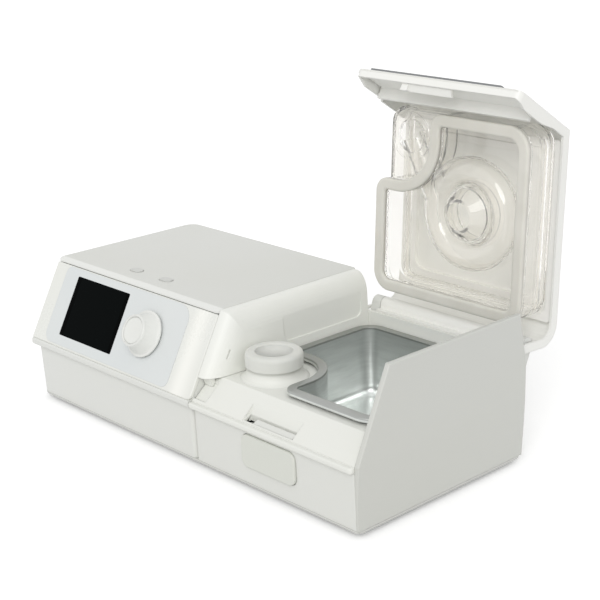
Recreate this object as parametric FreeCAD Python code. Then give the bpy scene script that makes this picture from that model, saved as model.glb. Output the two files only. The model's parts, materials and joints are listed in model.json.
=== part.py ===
"""CPAP machine: a blower console on the left and a heated humidifier on the right.

Frame: millimetres, +X to the right, +Y to the back, +Z up.  The origin is the
middle of the body's footprint, on the plane that the feet stand on.
The humidifier lid is shaped closed and then turned to its open rest position.
"""
import FreeCAD, Part
import math
import os

# ---------------------------------------------------------------- driving sizes
BODY_W = 303.0            # width of the whole body
BODY_D = 140.0            # depth of the body
LEFT, RIGHT = -BODY_W / 2, BODY_W / 2
FRONT, REAR = -BODY_D / 2, BODY_D / 2
FOOT_H = 3.0              # rubber feet under the base
PAN_T = 2.0               # base pan, seen as a line round the bottom
SEAM_Z = 38.5             # joint between the bases and the mouldings above
LIP_Z = 43.0              # foot of the sloped front
TOP_Z = 93.0              # console top
CHEEK_Z = 94.5            # side panel and closed lid
LIP_OUT = 3.0             # the lip's bead stands out from the bases by this much
LIP_SET = 2.0             # the slope starts on the bead, this far in front of the bases
SLOPE_RUN = 0.536         # the console front leans back this much per unit of height
SEAM_X = 14.6             # joint between console and humidifier
SEAM_GAP = 0.6            # groove between the two bases
WALL = 2.5                # moulded wall
DRAFT = 1.2               # the bases narrow by this much towards the bottom
JOINT_GAP = 0.1           # clearance where two mouldings meet
RUN_GAP = 0.3             # clearance round a moving key

PANEL_T = 2.4             # sloped front plate
OVERLAY_T = 0.3           # membrane on the front plate
OVERLAY_IN = (13.2, 23.2) # the membrane ends this far in from the left side and from the joint
COVER_T = 2.5             # top plate of the console
COVER_LIP = 1.2           # overhang of the top plate at the front
COVER_BEVEL = (4.0, 1.6)  # soft bevel along its front edge: depth and drop

SCREEN_IN = 27.3          # display window, in from the left side
SCREEN_W = 56.0
SCREEN_V = (8.1, 48.3)    # up the slope from, to
KNOB_X = SEAM_X - 55.6
KNOB_V = 28.0             # knob centre, up the slope
KNOB_R = 14.8             # foot ring
KNOB_FACE_R = 10.3        # rim of the front face
KNOB_H = 11.0
KNOB_LIFT = 1.2           # gap under the knob, more than its push travel
SHAFT_R = 3.0
BORE_GAP = 0.05           # running fit of a shaft in its bore

KEY_X = (SEAM_X - 101.2, SEAM_X - 70.8)    # power key and ramp key
KEY_Y = FRONT + 40.2
KEY_L = 10.0
KEY_W = 6.4
KEY_UP = 0.7              # keys stand this much above the top plate

FLANK_STRIP = 17.5        # flat strip of the flank wall ends here, then the shoulder falls
FLANK_FOOT = 27.6         # foot of the wall on the deck
SHOULDER_X = 8.9          # half axes of the elliptic shoulder
SHOULDER_Z = 15.0
FLANK_REAR = REAR - 3.3
CHEEK_T = 3.0             # side panel
CHEEK_TOP_FRONT = 24.0    # setback of the side panel's top front corner
CHEEK_TOP_REAR = 6.5      # setback of its top rear corner
CHEEK_REAR_Z = 62.0       # the rear edge leans forward above this height

CREASE_Y = FRONT + 15.5          # the sloped deck turns flat here
DECK_Z = 56.0
REAR_WALL_Z = 62.0
HINGE_STRIP_Z = 68.0      # thin inner rim of the rear wall, under the opened lid's edge

TUB_X = (28.4, RIGHT - 6.5)     # outer edge of the tub's rim
TUB_Y = (FRONT + 19.8, REAR - 3.8)
TUB_RIM_Z = 60.4
TUB_RIM_W = 4.6
TUB_RIM_T = 1.2
TUB_SKIRT = 2.6           # turned-down edge of the rim
TUB_CORNER = 13.0         # rear corners of the rim
TUB_TIP_R = 9.0           # rounded tips beside the notch
TUB_FLOOR_Z = 14.4
TUB_T = 1.0
BOSS = (45.4, FRONT + 38.5)      # centre of the air boss and of the tub's round notch
NOTCH_R = 25.4
CAP_R = 17.3
CAP_Z = (63.0, 72.0)

HINGE_Y = REAR + 8.2
HINGE_Z = 70.5
HINGE_R = 4.6
PIN_R = 1.5
LID_X = (21.6, RIGHT - 3.5)
LID_SKIN = 1.8
LID_WALL = 1.8            # walls along the flap and the right side
LID_REAR = REAR + 12.0           # outer face of the lid's rear wall
LID_REAR_FOOT = 62.0
LID_CORNER_Y = FRONT + 23.7    # top front edge of the lid
LID_LEAN = math.radians(29.5)    # the flap's lean from upright, so that its tip stands over the lip
LID_REAR_R = 13.0
LID_OPEN = 93.0           # degrees from closed to the rest position
FLAP_WALL = 8.0           # depth of the flap's side walls
FLAP_LEFT = 25.8          # the left wall stands in from the edge, clear of the flank's shoulder
FLAP_LEN = 54.0
FLAP_END = 5.0            # depth of the wall along the flap's tip
BORDER_H = 5.6            # depth of the lid's border along its right side
TONGUE_X = (60.8, 98.8)   # latch tongue, inside the recess
TONGUE_DEPTH = 8.6

COVER_FOOT = 62.0         # gasket face of the clear cover
COVER_TOP = 86.0
COVER_WALL = 2.0
GASKET_W = 7.2            # width of the seal, wider than the rim
LINER_T = 2.6             # inner frame of the lid
SEAT_IN = 4.0             # the cover's top rim stands in by this much, against the liner
PORT_PLATE_Z = 74.0
FUNNEL = (92.0, 10.0)     # centre of the funnel
FUNNEL_R = 17.0
VOLUTE_TURN = 26.5        # radius of the round duct's turn about the funnel
VOLUTE_R = 8.6            # its own radius
VOLUTE_WALL = 1.6
VOLUTE_Z = 78.0
VOLUTE_EXIT = math.radians(12.0)

BUTTON_X = (59.0, 103.0)  # release key in the front
BUTTON_Z = (16.0, 36.2)
BUTTON_R = 5.0
BUTTON_TRAVEL = 1.5
KEY_PROUD = 1.3           # the key stands out from the base by this much
KEY_DEPTH = 5.2           # rear face of its flange, back from the front of the base
LATCH_HOLE = 8.5          # open end of the recess, left of the latch plate
LATCH_WEB_Z = 40.0
SPRING_ROOM = 10.8        # from the front of the base to the seat of the key's spring
LATCH_X = (59.0, 100.5)   # recess in the sloped deck
LATCH_REAR = 9.6          # its rear edge, back from the front of the base
LATCH_FOOT = (6.8, 45.6)  # foot of its steep rear wall: back from the front, and height

BOARD_Z = 70.0            # underside of the control board
BLOWER = (SEAM_X - 76.6, BOSS[1] + 36.5)    # fan axis
BLOWER_R = 44.0
BLOWER_Z = (12.0, 50.0)
DUCT_Z = 24.0
DUCT_R = 9.5
OUTLET_X = RIGHT - 39.5          # hose connector at the rear
OUTLET_Z = 22.0
OUTLET_R = 11.0           # 22 mm taper connector
OUTLET_LEN = 22.0

# ---------------------------------------------------------------- derived sizes
PAN_Z = FOOT_H + PAN_T
LEAN = math.atan(SLOPE_RUN)
LIP_Y = FRONT - LIP_SET
SCREEN = (LEFT + SCREEN_IN, LEFT + SCREEN_IN + SCREEN_W) + SCREEN_V
SLOPE_TOP_Y = LIP_Y + (TOP_Z - LIP_Z) * SLOPE_RUN
PANEL_LEN = (TOP_Z - COVER_T - JOINT_GAP - LIP_Z) / math.cos(LEAN)
SPRING_END = FRONT + SPRING_ROOM
LATCH_Y = FRONT + LATCH_REAR
CHEEK_IN = RIGHT - CHEEK_T
LINER_Z = CHEEK_Z - LID_SKIN - LINER_T
DECK_LEAN = (DECK_Z - LIP_Z) / (CREASE_Y - FRONT)

# the sloped panel's own frame: x across, v up the slope, w outwards
SLOPE = FreeCAD.Placement(FreeCAD.Vector(0, LIP_Y, LIP_Z),
                          FreeCAD.Rotation(FreeCAD.Vector(1, 0, 0), 90 - math.degrees(LEAN)))
# the closed flap's own frame, the same way round, from the lid's top front edge
FLAP = FreeCAD.Placement(FreeCAD.Vector(0, LID_CORNER_Y, CHEEK_Z),
                         FreeCAD.Rotation(FreeCAD.Vector(1, 0, 0), 90 - math.degrees(LID_LEAN)))


# ---------------------------------------------------------------- shape helpers
def vec(x, y, z):
    return FreeCAD.Vector(x, y, z)


X_AXIS = vec(1, 0, 0)
Y_AXIS = vec(0, 1, 0)
Z_AXIS = vec(0, 0, 1)


def box(x, y, z):
    """Block between two values on each axis."""
    return Part.makeBox(x[1] - x[0], y[1] - y[0], z[1] - z[0], vec(x[0], y[0], z[0]))


def rod(radius, centre, length, axis=Z_AXIS):
    """Cylinder that starts at centre and runs along axis."""
    return Part.makeCylinder(radius, length, centre, axis)


def polygon(points):
    """Planar face through points."""
    return Part.Face(Part.makePolygon(list(points) + [points[0]]))


def prism_x(points, x):
    """Outline of (y, z) points, extruded between two x values."""
    face = polygon([vec(x[0], p[0], p[1]) for p in points])
    return face.extrude(vec(x[1] - x[0], 0, 0))


def prism_y(points, y):
    """Outline of (x, z) points, extruded between two y values."""
    face = polygon([vec(p[0], y[0], p[1]) for p in points])
    return face.extrude(vec(0, y[1] - y[0], 0))


def rounded_wire(x, y, z, radii):
    """Rectangle with four corner radii: front left, front right, rear right, rear left."""
    corners = [(x[0], y[0], 1, 1), (x[1], y[0], -1, 1), (x[1], y[1], -1, -1), (x[0], y[1], 1, -1)]
    arcs = []
    for (cx, cy, sx, sy), r in zip(corners, radii):
        centre = vec(cx + sx * r, cy + sy * r, z)
        along_x = vec(cx + sx * r, cy, z)
        along_y = vec(cx, cy + sy * r, z)
        middle = centre + vec(-sx, -sy, 0) * (r / math.sqrt(2))
        first, last = (along_y, along_x) if sx == sy else (along_x, along_y)
        arcs.append((first, middle, last))
    edges = []
    for i, (first, middle, last) in enumerate(arcs):
        edges.append(Part.Arc(first, middle, last).toShape())
        edges.append(Part.makeLine(last, arcs[(i + 1) % 4][0]))
    return Part.Wire(edges)


def rounded_block(x, y, z, radius):
    """Upright block with rounded vertical edges."""
    radii = radius if isinstance(radius, (tuple, list)) else (radius,) * 4
    return Part.Face(rounded_wire(x, y, z[0], radii)).extrude(vec(0, 0, z[1] - z[0]))


def oval_block(centre, length, width, z):
    """Upright block with a slot-shaped outline, long along x."""
    half = length / 2
    return rounded_block((centre[0] - half, centre[0] + half),
                         (centre[1] - width / 2, centre[1] + width / 2), z, width / 2 - 0.01)


def revolve(points, centre):
    """Outline of (radius, z) points, turned round a vertical axis through centre."""
    face = polygon([vec(p[0], 0, p[1]) for p in points])
    solid = face.revolve(vec(0, 0, 0), Z_AXIS, 360)
    solid.translate(vec(centre[0], centre[1], 0))
    return solid


def soften(solid, radius, wanted):
    """Round the edges that wanted(edge) picks."""
    edges = [e for e in solid.Edges if wanted(e)]
    return solid.makeFillet(radius, edges)


def edge_span(edge):
    """Size of an edge's box."""
    b = edge.BoundBox
    return b.XLength, b.YLength, b.ZLength


def at_height(z, tolerance=0.01):
    """Test for edges that lie flat at one height."""
    return lambda e: abs(e.BoundBox.ZMin - z) < tolerance and abs(e.BoundBox.ZMax - z) < tolerance


def placed(solid, placement):
    """The solid moved from a local frame into the machine's frame."""
    moved = solid.copy()
    moved.Placement = placement.multiply(moved.Placement)
    return moved


def lid_opened(solid):
    """Turn a part of the closed lid about the hinge to its rest position."""
    turned = solid.copy()
    turned.rotate(vec(0, HINGE_Y, HINGE_Z), X_AXIS, -LID_OPEN)
    return turned


def one_solid(shape):
    """The shape cleaned up as a single solid."""
    shape = shape.removeSplitter()
    solids = shape.Solids
    if len(solids) != 1:
        print("WARNING", len(solids), "solids", [round(s.Volume) for s in solids])
    return solids[0] if len(solids) == 1 else shape


# ---------------------------------------------------------------- base
def drafted_ring(x, y, radii):
    """Wall frame between the base pan and the seam, narrower at the bottom on the outer sides."""
    low_x = (x[0] + (DRAFT if x[0] == LEFT else 0), x[1] - (DRAFT if x[1] == RIGHT else 0))
    low_y = (y[0] + DRAFT, y[1] - DRAFT)

    def body(inset, z0, z1):
        corner = [max(r - inset, 0.8) for r in radii]
        top = rounded_wire((x[0] + inset, x[1] - inset), (y[0] + inset, y[1] - inset), z1, corner)
        foot = rounded_wire((low_x[0] + inset, low_x[1] - inset),
                            (low_y[0] + inset, low_y[1] - inset), z0, corner)
        return Part.makeLoft([foot, top], True, True)

    return body(0, PAN_Z + JOINT_GAP, SEAM_Z).cut(body(WALL, PAN_Z + JOINT_GAP, SEAM_Z))


SCREW_SPOTS = [(LEFT + 12, FRONT + 12), (LEFT + 12, REAR - 12), (4.0, FRONT + 12), (4.0, REAR - 12),
               (25.5, REAR - 12), (RIGHT - 14, FRONT + 12)]
SCREW_R = 1.5
SCREW_HEAD_R = 3.2
POST_R = 4.0


def screw_posts(spots):
    """Screw posts that stand on the base pan, with pilot holes."""
    posts = []
    for spot in spots:
        post = rod(POST_R, vec(spot[0], spot[1], PAN_Z + JOINT_GAP), 16)
        posts.append(post.cut(rod(SCREW_R + BORE_GAP, vec(spot[0], spot[1], PAN_Z), 12)))
    return posts


def with_ribs(shell, spots, ties):
    """Join screw posts to the walls with short ribs, given as blocks."""
    posts = screw_posts(spots)
    solid = shell.multiFuse(posts + ties)
    for spot in spots:
        solid = solid.cut(rod(SCREW_R + BORE_GAP, vec(spot[0], spot[1], PAN_Z), 12))
    return solid


def post_tie(spot, wall_y):
    """Rib from a post to the front or rear wall."""
    y = sorted((spot[1], wall_y))
    return box((spot[0] - 1, spot[0] + 1), y, (PAN_Z + JOINT_GAP, PAN_Z + 14))


def wall_y_for(spot):
    """Y value inside the wall that is nearest to a post."""
    return FRONT + DRAFT + 1.0 if spot[1] < 0 else REAR - DRAFT - 1.0


def console_base():
    shell = drafted_ring((LEFT, SEAM_X - SEAM_GAP / 2), (FRONT, REAR), (9, 3, 3, 9))
    spots = SCREW_SPOTS[:4]
    solid = with_ribs(shell, spots, [post_tie(s, wall_y_for(s)) for s in spots])
    duct = rod(DUCT_R + 0.6, vec(SEAM_X - 8, BOSS[1], DUCT_Z), 12, X_AXIS)
    return one_solid(solid.cut(duct))


def button_outline(grow, y0, y1):
    """Rounded rectangle of the release key, extruded from front to back."""
    x = (BUTTON_X[0] - grow, BUTTON_X[1] + grow)
    z = (BUTTON_Z[0] - grow, BUTTON_Z[1] + grow)
    flat = rounded_block(x, (-z[1], -z[0]), (0, y1 - y0), BUTTON_R + grow)
    flat.rotate(vec(0, 0, 0), X_AXIS, -90)
    flat.translate(vec(0, y0, 0))
    return flat


def humidifier_base():
    shell = drafted_ring((SEAM_X + SEAM_GAP / 2, CHEEK_IN - JOINT_GAP), (FRONT, REAR), (3, 1, 1, 3))
    spots = SCREW_SPOTS[4:]
    seat_z = (PAN_Z + JOINT_GAP, BUTTON_Z[1] - 6)
    seat = box((BUTTON_X[0] - 5, BUTTON_X[0] + 11), (SPRING_END, SPRING_END + 1.6), seat_z)
    arm = box((BUTTON_X[0] - 5, BUTTON_X[0] - 3), (FRONT + DRAFT + 1, SPRING_END), seat_z)
    solid = with_ribs(shell, spots, [post_tie(s, wall_y_for(s)) for s in spots] + [seat, arm])
    solid = solid.cut(button_outline(RUN_GAP, FRONT - 1, FRONT + 6))
    solid = solid.cut(rod(DUCT_R + 0.6, vec(SEAM_X - 2, BOSS[1], DUCT_Z), 8, X_AXIS))
    solid = solid.cut(rod(OUTLET_R + JOINT_GAP, vec(OUTLET_X, REAR - 8, OUTLET_Z), 12, Y_AXIS))
    return one_solid(solid)


def base_pan():
    x = (LEFT + DRAFT, RIGHT - DRAFT)
    y = (FRONT + DRAFT, REAR - DRAFT)
    pan = rounded_block(x, y, (FOOT_H, PAN_Z), (9, 4, 4, 9))
    pan = soften(pan, 1.2, at_height(FOOT_H))
    for spot in SCREW_SPOTS:
        pan = pan.cut(rod(SCREW_R + 0.3, vec(spot[0], spot[1], 0), 6))
        pan = pan.cut(rod(SCREW_HEAD_R + 0.2, vec(spot[0], spot[1], 0), FOOT_H + 1.3))
    return one_solid(pan)


FOOT_SPOTS = [(LEFT + 30, FRONT + 14), (LEFT + 30, REAR - 14), (RIGHT - 30, FRONT + 14),
              (RIGHT - 30, REAR - 14), (0, 0)]
FOOT_R = 7.0


def feet():
    pads = []
    for spot in FOOT_SPOTS:
        pad = rod(FOOT_R, vec(spot[0], spot[1], 0), FOOT_H)
        pads.append(soften(pad, 0.6, at_height(0)))
    return Part.Compound(pads)


def base_screws():
    screws = []
    for spot in SCREW_SPOTS:
        head = rod(SCREW_HEAD_R, vec(spot[0], spot[1], FOOT_H + 0.1), 1.2 - 0.05)
        recess = box((spot[0] - 2.0, spot[0] + 2.0), (spot[1] - 0.4, spot[1] + 0.4),
                     (FOOT_H, FOOT_H + 0.7))
        shank = rod(SCREW_R, vec(spot[0], spot[1], FOOT_H + 0.5), 11)
        screws.append(head.fuse(shank).cut(recess))
    return Part.Compound(screws)


# ---------------------------------------------------------------- console housing
def console_profile(setback, top):
    """Side view of the console above the seam, with the slope set back along its normal."""
    shift = setback / math.cos(LEAN)
    return [(FRONT, SEAM_Z), (FRONT, LIP_Z), (LIP_Y + shift, LIP_Z),
            (LIP_Y + shift + (top - LIP_Z) * SLOPE_RUN, top), (REAR, top), (REAR, SEAM_Z)]


def lip_bead(x, z, outer_end):
    """Rounded bar that stands out along the lip, with a rounded corner at its outer end."""
    nose = FRONT - LIP_OUT
    bar = box(x, (nose, FRONT + 1), z)

    def end_corner(e):
        b = e.BoundBox
        return b.ZLength > 3 and b.YMax < nose + 0.01 and abs(b.XMin - outer_end) < 0.01

    def along(height):
        flat = at_height(height)
        return lambda e: flat(e) and e.BoundBox.YMin < FRONT + 0.5 and e.BoundBox.XLength > 0.5

    bar = soften(bar, 2.0, end_corner)
    bar = soften(bar, 1.1, along(z[1]))
    return soften(bar, 1.6, along(z[0]))


FILTER_X = (LEFT + 15.5, LEFT + 59.5)
FILTER_Z = (48.0, 78.0)
INLET_X = SEAM_X - 34.6
INLET_Z = 56.0
INLET_R = 5.6


def console_shell():
    """Side and rear walls of the console, open at the top, the slope and the bottom."""
    top = TOP_Z - COVER_T - JOINT_GAP
    outer = prism_x(console_profile(PANEL_T + JOINT_GAP, top), (LEFT, SEAM_X - SEAM_GAP / 2))

    def upright_corner(e):
        size = edge_span(e)
        b = e.BoundBox
        return size[2] > 10 and size[0] < 0.01 and size[1] < 0.01 and b.YMin > 0 and b.XMax < 0

    outer = soften(outer, 8, upright_corner)
    inside = box((LEFT + WALL, SEAM_X - SEAM_GAP / 2 - WALL), (FRONT + WALL, REAR - WALL),
                 (SEAM_Z - 1, TOP_Z))
    front_room = box((LEFT + WALL, SEAM_X - SEAM_GAP / 2 - WALL), (FRONT - 1, FRONT + 10),
                     (LIP_Z - 0.01, TOP_Z))
    bead = lip_bead((LEFT, SEAM_X - SEAM_GAP / 2), (SEAM_Z, LIP_Z), LEFT)
    solid = outer.cut(inside).cut(front_room).fuse(bead)
    solid = solid.cut(box(FILTER_X, (REAR - 5, REAR + 1), FILTER_Z))
    solid = solid.cut(rod(INLET_R + JOINT_GAP, vec(INLET_X, REAR - 5, INLET_Z), 8, Y_AXIS))
    rail_z = (BOARD_Z - 2.5, BOARD_Z - 0.05)
    solid = solid.fuse(box((SEAM_X - 7, SEAM_X - 1), (KEY_Y + 10, REAR - 20), rail_z))
    solid = solid.fuse(box((BLOWER[0] - 8, BLOWER[0] + 22), (REAR - 8, REAR - 1), rail_z))
    return one_solid(solid)


def top_cover():
    """Flat top plate with a thin front edge that hangs over the slope."""
    x = (LEFT, SEAM_X - SEAM_GAP / 2)
    y = (SLOPE_TOP_Y - COVER_LIP, REAR)
    plate = rounded_block(x, y, (TOP_Z - COVER_T, TOP_Z), (3, 3, 3, 8))
    run, drop = COVER_BEVEL
    bevel = prism_x([(y[0] - 1, TOP_Z - drop - drop / run), (y[0] + run, TOP_Z),
                     (y[0] + run, TOP_Z + 1), (y[0] - 1, TOP_Z + 1)], (x[0] - 1, x[1] + 1))
    plate = soften(plate, 0.9, at_height(TOP_Z)).cut(bevel)
    for key_x in KEY_X:
        hole = oval_block((key_x, KEY_Y), KEY_L + 2 * RUN_GAP, KEY_W + 2 * RUN_GAP,
                          (TOP_Z - 5, TOP_Z + 1))
        plate = plate.cut(hole)
    return one_solid(plate)


def top_key(x):
    """Oval key with a crowned face and a wider flange under the top plate."""
    cap = oval_block((x, KEY_Y), KEY_L, KEY_W, (TOP_Z - COVER_T - 2.4, TOP_Z + KEY_UP))
    cap = soften(cap, 0.6, at_height(TOP_Z + KEY_UP))
    flange = oval_block((x, KEY_Y), KEY_L + 2.4, KEY_W + 2.4,
                        (TOP_Z - COVER_T - 2.4, TOP_Z - COVER_T - 0.15))
    stem = rod(1.6, vec(x, KEY_Y, TOP_Z - COVER_T - 4.4), 3)
    return one_solid(cap.fuse(flange).fuse(stem))


def key_board():
    """Small board under the keys, with a switch below each stem."""
    z = TOP_Z - COVER_T - 10
    board = box((KEY_X[0] - 12, KEY_X[1] + 12), (KEY_Y - 7, KEY_Y + 7), (z, z + 1.6))
    for key_x in KEY_X:
        board = board.fuse(box((key_x - 3, key_x + 3), (KEY_Y - 3, KEY_Y + 3), (z + 1.6, z + 4.2)))
        board = board.fuse(rod(1.7, vec(key_x, KEY_Y, z + 4), 0.8))
    return one_solid(board)


def front_panel():
    """Sloped bezel plate with the display window and the knob's hole."""
    x = (LEFT, SEAM_X - SEAM_GAP / 2)
    plate = rounded_block(x, (0, PANEL_LEN), (-PANEL_T, 0), (1.5, 4.0, 1.5, 1.5))
    plate = soften(plate, 1.0, at_height(0))
    window = rounded_block(SCREEN[:2], SCREEN[2:], (-PANEL_T - 1, 1), 1.0)
    hole = rod(SHAFT_R + 1.2, vec(KNOB_X, KNOB_V, -PANEL_T - 1), 5)
    above_lip = box((LEFT, RIGHT), (FRONT - 10, REAR), (LIP_Z + 0.05, TOP_Z))
    return one_solid(placed(plate.cut(window).cut(hole), SLOPE).common(above_lip))


def panel_overlay():
    """Membrane round the display and the knob."""
    x = (LEFT + OVERLAY_IN[0], SEAM_X - OVERLAY_IN[1])
    sheet = rounded_block(x, (1.6, PANEL_LEN - 0.8), (0, OVERLAY_T), (7, 5, 10, 5))
    window = rounded_block(SCREEN[:2], SCREEN[2:], (-1, 1), 1.0)
    hole = rod(SHAFT_R + 3.0, vec(KNOB_X, KNOB_V, -1), 3)
    return one_solid(placed(sheet.cut(window).cut(hole), SLOPE))


def display_lens():
    x = (SCREEN[0] + 0.15, SCREEN[1] - 0.15)
    v = (SCREEN[2] + 0.15, SCREEN[3] - 0.15)
    lens = rounded_block(x, v, (-1.4, OVERLAY_T - 0.05), 0.9)
    return placed(lens, SLOPE)


def display_module():
    x = (SCREEN[0] - 3, SCREEN[1] + 3)
    v = (SCREEN[2] - 3, SCREEN[3] + 3)
    frame = box(x, v, (-PANEL_T - 5, -PANEL_T - JOINT_GAP))
    stage = box((SCREEN[0] + 1, SCREEN[1] - 1), (SCREEN[2] + 1, SCREEN[3] - 1),
                (-PANEL_T - 1, -1.4 - 0.05))
    return one_solid(placed(frame.fuse(stage), SLOPE))


# ---------------------------------------------------------------- knob
def knob():
    """Tapered knob: foot ring, hollow flank that narrows, rounded rim and a dished face."""
    foot = KNOB_LIFT
    ring_h = foot + 1.6
    rim = foot + KNOB_H
    flank = [(KNOB_R - 1.3, ring_h + 0.2)]
    for i in range(1, 8):
        t = i / 8
        r = KNOB_FACE_R + (KNOB_R - 1.3 - KNOB_FACE_R) * (1 - t) ** 1.3
        flank.append((r, ring_h + (rim - 1.2 - ring_h) * t))
    outline = [(0, foot), (KNOB_R - 0.4, foot), (KNOB_R, foot + 0.4), (KNOB_R, ring_h - 0.3),
               (KNOB_R - 0.5, ring_h)] + flank
    outline += [(KNOB_FACE_R, rim - 1.2), (KNOB_FACE_R - 0.35, rim - 0.35), (KNOB_FACE_R - 1.2, rim),
                (KNOB_FACE_R - 1.7, rim - 0.6), (0, rim - 1.0)]
    body = revolve(outline, (KNOB_X, KNOB_V))
    pocket = rod(KNOB_FACE_R - 1.9, vec(KNOB_X, KNOB_V, rim - 2.2), 3)
    bore = rod(SHAFT_R + BORE_GAP, vec(KNOB_X, KNOB_V, 0), rim - 4)
    return one_solid(placed(body.cut(pocket).cut(bore), SLOPE))


def knob_insert():
    """Shallow dished disc in the knob's face."""
    r = KNOB_FACE_R - 1.9 - 0.05
    floor = KNOB_LIFT + KNOB_H - 2.2 + 0.02
    disc = revolve([(0, floor), (r, floor), (r, floor + 1.3), (r - 0.4, floor + 1.5),
                    (r * 0.5, floor + 1.15), (0, floor + 1.05)], (KNOB_X, KNOB_V))
    return placed(disc, SLOPE)


SHAFT_W = (-PANEL_T - 4.4, KNOB_LIFT + KNOB_H - 4.2)


def encoder_shaft():
    shaft = rod(SHAFT_R, vec(KNOB_X, KNOB_V, SHAFT_W[0]), SHAFT_W[1] - SHAFT_W[0])
    shaft = soften(shaft, 0.4, at_height(SHAFT_W[1]))
    return placed(shaft, SLOPE)


def encoder_body():
    """Rotary encoder with a square case and a bore for the shaft and its push travel."""
    w = (-PANEL_T - 7.5, -PANEL_T - JOINT_GAP)
    case = box((KNOB_X - 6.5, KNOB_X + 6.5), (KNOB_V - 7, KNOB_V + 7), w)
    bore = rod(SHAFT_R + BORE_GAP, vec(KNOB_X, KNOB_V, SHAFT_W[0] - 1.0), 10)
    return one_solid(placed(case.cut(bore), SLOPE))


# ---------------------------------------------------------------- humidifier housing
def tub_outline(inset, z):
    """Plan of the tub: rounded rectangle with a large round notch at its front left corner.

    The notch is a corner cut out with an arc about the air boss, and it meets the
    two sides with rounded tips.
    """
    x = (TUB_X[0] + inset, TUB_X[1] - inset)
    y = (TUB_Y[0] + inset, TUB_Y[1] - inset)
    notch = NOTCH_R + inset
    rear = max(TUB_CORNER - inset, 3)
    plan = rounded_block(x, y, (z, z + 1), (4, max(15 - inset, 3), rear, rear))
    corner = (BOSS[0] + notch, BOSS[1] + notch)
    plan = plan.cut(rounded_block((x[0] - 20, corner[0]), (y[0] - 20, corner[1]), (z - 1, z + 2),
                                  (1, 1, notch, 1)))
    spots = [(corner[0], y[0]), (x[0], corner[1])]
    tips = [e for e in plan.Edges if edge_span(e)[2] > 0.9 and
            min(math.hypot(e.CenterOfMass.x - p[0], e.CenterOfMass.y - p[1]) for p in spots) < 0.05]
    plan = plan.makeFillet(max(TUB_TIP_R - inset, 2.5), tips)
    bottom = [f for f in plan.Faces if abs(f.CenterOfMass.z - z) < 1e-6 and f.BoundBox.ZLength < 1e-6]
    return bottom[0]


def tub_block(inset, z):
    """The tub's plan, extruded between two heights."""
    return tub_outline(inset, z[0]).extrude(vec(0, 0, z[1] - z[0]))


WELL_INSET = TUB_RIM_W - 1.4


def deck_height(y):
    """Height of the sloped deck at a depth y."""
    return LIP_Z + (y - FRONT) * DECK_LEAN


def deck_profile():
    """Side view of the deck: lip, slope, flat, and the low wall at the rear."""
    return [(FRONT, SEAM_Z + JOINT_GAP), (FRONT, LIP_Z), (CREASE_Y, DECK_Z), (REAR - 3.2, DECK_Z),
            (REAR - 3.2, REAR_WALL_Z), (REAR, REAR_WALL_Z), (REAR, SEAM_Z + JOINT_GAP)]


def deck_room():
    """Hollow under the deck."""
    under = DECK_Z - WALL
    toe = FRONT + WALL
    return [(toe, SEAM_Z - 1), (toe, LIP_Z - 1.4), (CREASE_Y + 1.2, under), (REAR - WALL, under),
            (REAR - WALL, SEAM_Z - 1)]


CHANNEL_X = 25.6          # left of this the sloped deck lies lower, beside the console
CHANNEL_DROP = 1.6


def latch_recess():
    """Recess in the sloped deck: a low floor that runs out to the lip, and a steep rear wall."""
    foot_y = FRONT + LATCH_FOOT[0]
    top = deck_height(LATCH_Y)
    return prism_x([(FRONT - 0.01, LIP_Z - 0.004), (foot_y, LATCH_FOOT[1]), (LATCH_Y, top),
                    (LATCH_Y, top + 5), (FRONT - 0.01, top + 5)], LATCH_X)


def humidifier_housing():
    """Lip, deck and rear wall, with the well that holds the tub."""
    x = (SEAM_X + SEAM_GAP / 2, CHEEK_IN - JOINT_GAP)
    solid = prism_x(deck_profile(), x)
    solid = solid.cut(prism_x(deck_room(), (x[0] + WALL, x[1] - WALL)))
    well_z = (10.0, DECK_Z - 0.5)
    well = tub_block(WELL_INSET - WALL + 0.5, well_z)
    solid = solid.fuse(well).cut(tub_block(WELL_INSET, (well_z[0] - 1, DECK_Z + 1)))
    rear_lip = box(x, (REAR - 3.2, REAR - 1.6), (DECK_Z, HINGE_STRIP_Z))
    rib_y, rib_z = FRONT + LATCH_FOOT[0], LATCH_FOOT[1]
    rib_top = deck_height(LATCH_Y)
    rib = prism_x([(rib_y - 1.6, rib_z - 4.0), (rib_y, rib_z), (LATCH_Y, rib_top),
                   (LATCH_Y + 3.0, rib_top), (rib_y + 2.2, rib_z - 4.0)], LATCH_X)
    bead = lip_bead(x, (SEAM_Z + JOINT_GAP, LIP_Z - 0.5), x[1])
    pocket_floor = box((LATCH_X[0], LATCH_X[0] + LATCH_HOLE - 0.5), (FRONT + 1, rib_y + 1.0),
                       (LATCH_WEB_Z - 1.2, LATCH_WEB_Z))
    solid = solid.multiFuse([rear_lip, rib, bead]).cut(latch_recess())
    ends = (FRONT + 1.6, CREASE_Y - 3.0)
    channel = prism_x([(ends[0], deck_height(ends[0]) - CHANNEL_DROP),
                       (ends[1], deck_height(ends[1]) - CHANNEL_DROP),
                       (ends[1], DECK_Z + 1), (ends[0], DECK_Z + 1)], (x[0] - 1, CHANNEL_X))
    solid = solid.cut(soften(channel, 1.0, lambda e: e.BoundBox.XMin > CHANNEL_X - 0.01))
    slot = box((LATCH_X[0] + 1.0, LATCH_X[1] - 0.6), (FRONT + 1.2, rib_y - 0.2), (SEAM_Z - 2, DECK_Z))
    boss_hole = rod(BOSS_BORE + 1.6, vec(BOSS[0], BOSS[1], SEAM_Z), 25)
    return one_solid(solid.cut(slot).cut(boss_hole).fuse(pocket_floor))


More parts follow.
